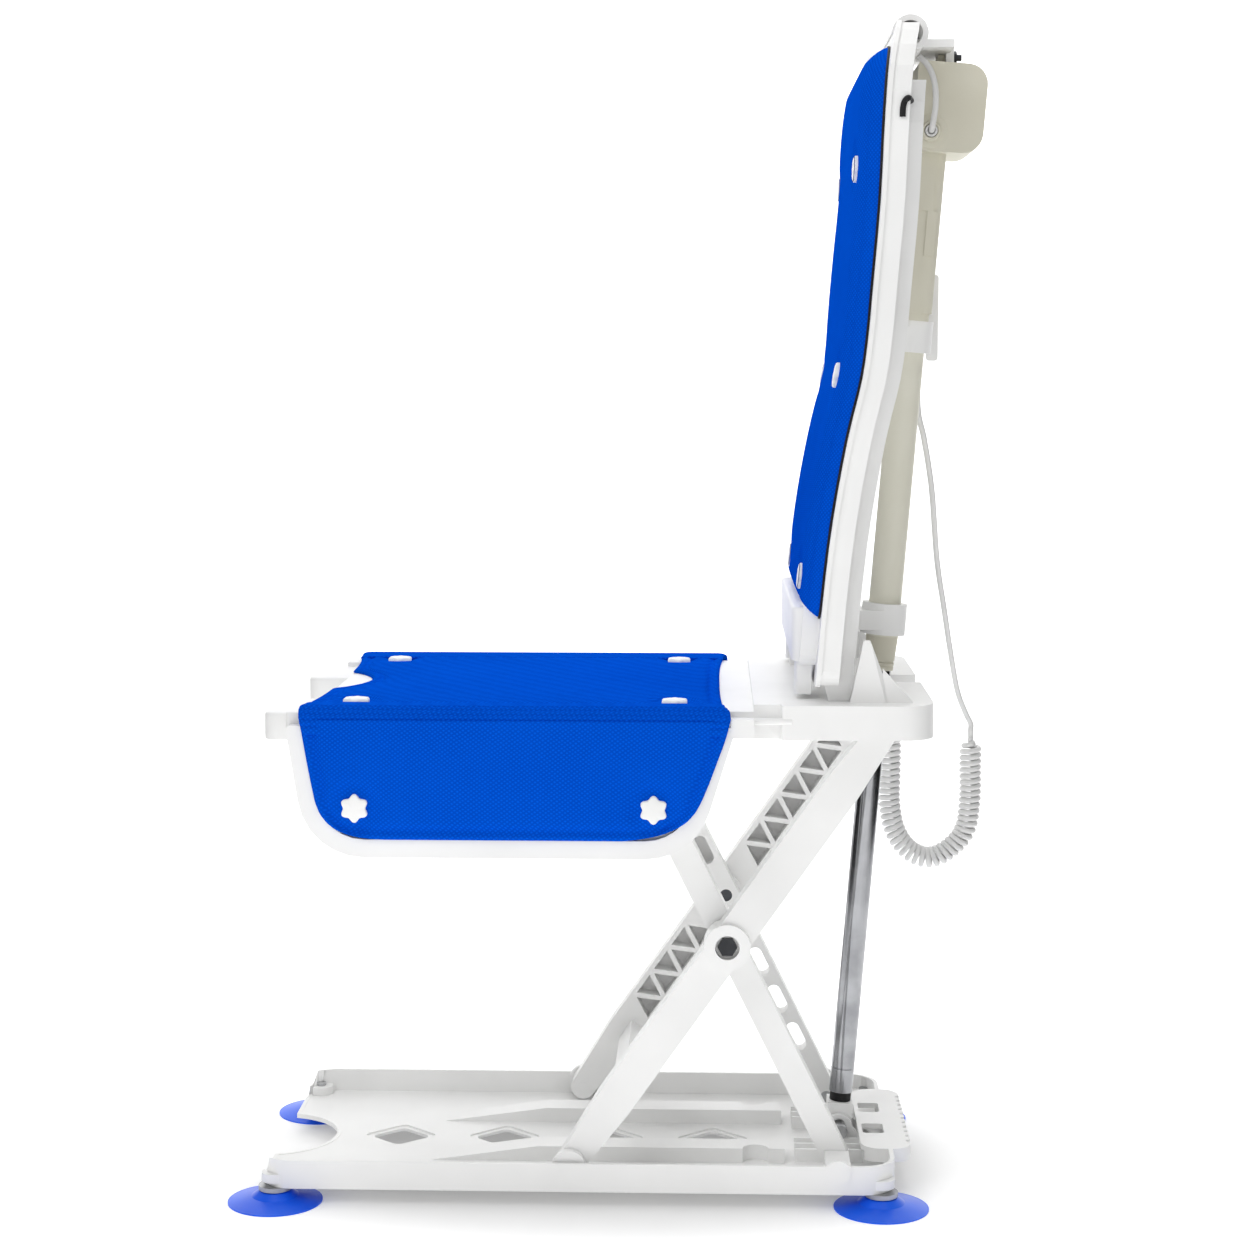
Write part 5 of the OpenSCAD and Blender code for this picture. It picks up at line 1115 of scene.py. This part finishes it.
def slim_leg(name, node, plain):
    bm = merged_copy(node)
    if plain:
        bm.normal_update()
        doomed = []
        for group in wall_groups(bm):
            spots = np.array([v.co for f in group for v in f.verts]) * 1000
            reach = np.ptp(spots[:, [0, 2]] @ leg_way)
            if OPENING_MIN < reach < OPENING_MAX and np.ptp(spots[:, 1]) > OPENING_DEEP:
                doomed += list(group)
        bmesh.ops.delete(bm, geom=doomed, context="FACES")
        bmesh.ops.holes_fill(bm, edges=[e for e in bm.edges if e.is_boundary], sides=0)
        print(name, len(doomed), "faces of openings closed")
    for vert in bm.verts:
        spot = np.array([vert.co.x * 1000 + MIDDLE, vert.co.z * 1000]) - LEG_FOOT
        wide = float(spot @ leg_side)
        move = (min(max(wide, -LEG_HALF), LEG_HALF) - wide) * leg_side / 1000
        vert.co.x += move[0]
        vert.co.z += move[1]
    made = dress(finished(name, bm, crease=32), "white_plastic")
    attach(made, "inner_legs")
    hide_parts(node)


slim_leg("leg_bar_left", "inner_leg_left", True)
slim_leg("leg_bar_right", "inner_leg_right", False)

# %% [markdown]
# ## Backdrop
# The lift stands on white paper that runs up behind it, as in a studio. A plane would show a horizon, so
# a long grid is bent up in a quarter circle. Its paper glows a little, to stay white. Near the lift the
# glow is turned down in an oval, a painted shade round the lift, so that the soft shadow shows.

# %% Backdrop
FLOOR_FROM, FLOOR_RUN, BEND_RUN, WALL_RUN = -4.0, 5.0, 2.0, 3.0
BEND_R = 1.273
STAGE_HALF = 5.0


def sweep_stage():
    """Floor, bend and wall in metres."""
    bm = bmesh.new()
    made = bmesh.ops.create_grid(bm, x_segments=4, y_segments=60, size=1.0)["verts"]
    for vert in made:
        s = (vert.co.y + 1) / 2 * (FLOOR_RUN + BEND_RUN + WALL_RUN)
        if s < FLOOR_RUN:
            y, z = FLOOR_FROM + s, 0.0
        elif s < FLOOR_RUN + BEND_RUN:
            a = (s - FLOOR_RUN) / BEND_RUN * math.pi / 2
            y, z = FLOOR_FROM + FLOOR_RUN + BEND_R * math.sin(a), BEND_R * (1 - math.cos(a))
        else:
            y, z = FLOOR_FROM + FLOOR_RUN + BEND_R, BEND_R + s - FLOOR_RUN - BEND_RUN
        vert.co = (vert.co.x * STAGE_HALF, y, z)
    return finished("backdrop", bm)


backdrop = sweep_stage()
paper, paper_tree, paper_shader, paper_where = surface("backdrop_paper")
# Uncoated paper: matt, its white hardly clouded
tinted(paper_tree, paper_shader, paper_where, "FCFCFC", "FFFFFF", 500)
paper_shader.inputs["Roughness"].default_value = 0.9
paper_shader.inputs["Specular IOR Level"].default_value = 0.0
paper_shader.inputs["Emission Color"].default_value = (1, 1, 1, 1)
# The dim patch is painted shade: an oval round the tray's middle, longer along X
OVAL = 0.55
near = add(paper_tree, "ShaderNodeMapping", Vector=paper_where, Location=[OVAL * MIDDLE / 1000, 0, 0],
           Scale=[OVAL, 1.0, 0.0])
reach = add(paper_tree, "ShaderNodeVectorMath", {"operation": "LENGTH"}, Vector=(near, "Vector"))
glow_and_painted_shade = add(paper_tree, "ShaderNodeMapRange", {"interpolation_type": "SMOOTHSTEP"}, Value=(reach, "Value"),
            From_Min=0.15, From_Max=0.34, To_Min=0.1, To_Max=0.68)
join(paper_tree, glow_and_painted_shade, "Result", paper_shader, "Emission Strength")
backdrop.data.materials.append(paper)
backdrop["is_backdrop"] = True
print("backdrop", [round(c, 2) for c in backdrop.dimensions], "m")

# %% [markdown]
# ## Dark cards
# In an all-white room chrome looks white. A photographer sets dark cards beside such a thing, so that
# metal and gloss show dark bands. Here they are two upright sheets of felt that the camera skips but
# mirrors see. Painting bands on the rod would be simpler, but they would stay put when the view turns.

# %% Dark cards
FLAG_X = 1.25
FLAG_Y, FLAG_HALF_Y = -0.35, 1.2
FLAG_Z, FLAG_HALF_Z = 0.42, 0.4
felt, felt_tree, felt_shader, felt_where = surface("black_felt")
# Pressed wool: nearly black, without any gloss
tinted(felt_tree, felt_shader, felt_where, "080808", "101010", 50)
felt_shader.inputs["Roughness"].default_value = 1.0


def flag(name, x):
    """An upright card at x metres."""
    bm = bmesh.new()
    made = bmesh.ops.create_grid(bm, x_segments=2, y_segments=2, size=1.0)["verts"]
    for vert in made:
        vert.co = (x, FLAG_HALF_Y * vert.co.x + FLAG_Y, FLAG_Z + FLAG_HALF_Z * vert.co.y)
    card = finished(name, bm)
    card.data.materials.append(felt)
    card.visible_camera = False
    card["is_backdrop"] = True


flag("flag_left", -FLAG_X)
flag("flag_right", FLAG_X)
print("dark cards at", -FLAG_X, "and", FLAG_X, "m")

# %% [markdown]
# ## Lamps and sky
# The light is soft and comes from everywhere: a large lamp from the upper left, one from above, a fill
# from the right and a weak one beside the camera. A sun would draw hard shadows. The sky is plain white
# where the camera sees it and weaker for everything else, so that white pieces still stand out from it.

# %% Lamps and sky
SKY_LIGHT, SKY_SEEN = 0.38, 1.0


def lamp(name, place, yaw, pitch, size, power):
    data = bpy.data.lights.new(name, "AREA")
    data.shape = "RECTANGLE"
    data.size, data.size_y = size
    data.energy = power
    made = bpy.data.objects.new(name, data)
    made.location = place
    look_along(made, yaw, pitch)
    bpy.context.scene.collection.objects.link(made)


lamp("key", (-1.6, -1.9, 2.6), 38, -42, (1.6, 1.6), 25)
lamp("fill", (2.2, -1.6, 1.4), -52, -16, (1.4, 1.8), 8)
lamp("top", (0.0, 0.2, 2.7), 0, -89, (1.8, 1.8), 17)
lamp("front", (0.2, -2.6, 0.7), -4, -8, (1.2, 0.8), 3.5)
world = bpy.data.worlds.new("studio")
bpy.context.scene.world = world
world.use_nodes = True
world.node_tree.nodes["Background"].inputs["Color"].default_value = (1, 1, 1, 1)
light_path = add(world.node_tree, "ShaderNodeLightPath")
sky = add(world.node_tree, "ShaderNodeMapRange", Value=(light_path, "Is Camera Ray"), To_Min=SKY_LIGHT,
          To_Max=SKY_SEEN)
join(world.node_tree, sky, "Result", world.node_tree.nodes["Background"], "Strength")
print(len(bpy.data.lights), "lamps, and a sky of", SKY_LIGHT)

# %% [markdown]
# ## Size
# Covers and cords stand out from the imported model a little.

# %% Size
low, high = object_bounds()
{"cad": cad_box, "visual": [list(low), list(high)]}
print("looks reach from", [round(c, 3) for c in low], "to", [round(c, 3) for c in high], "m")
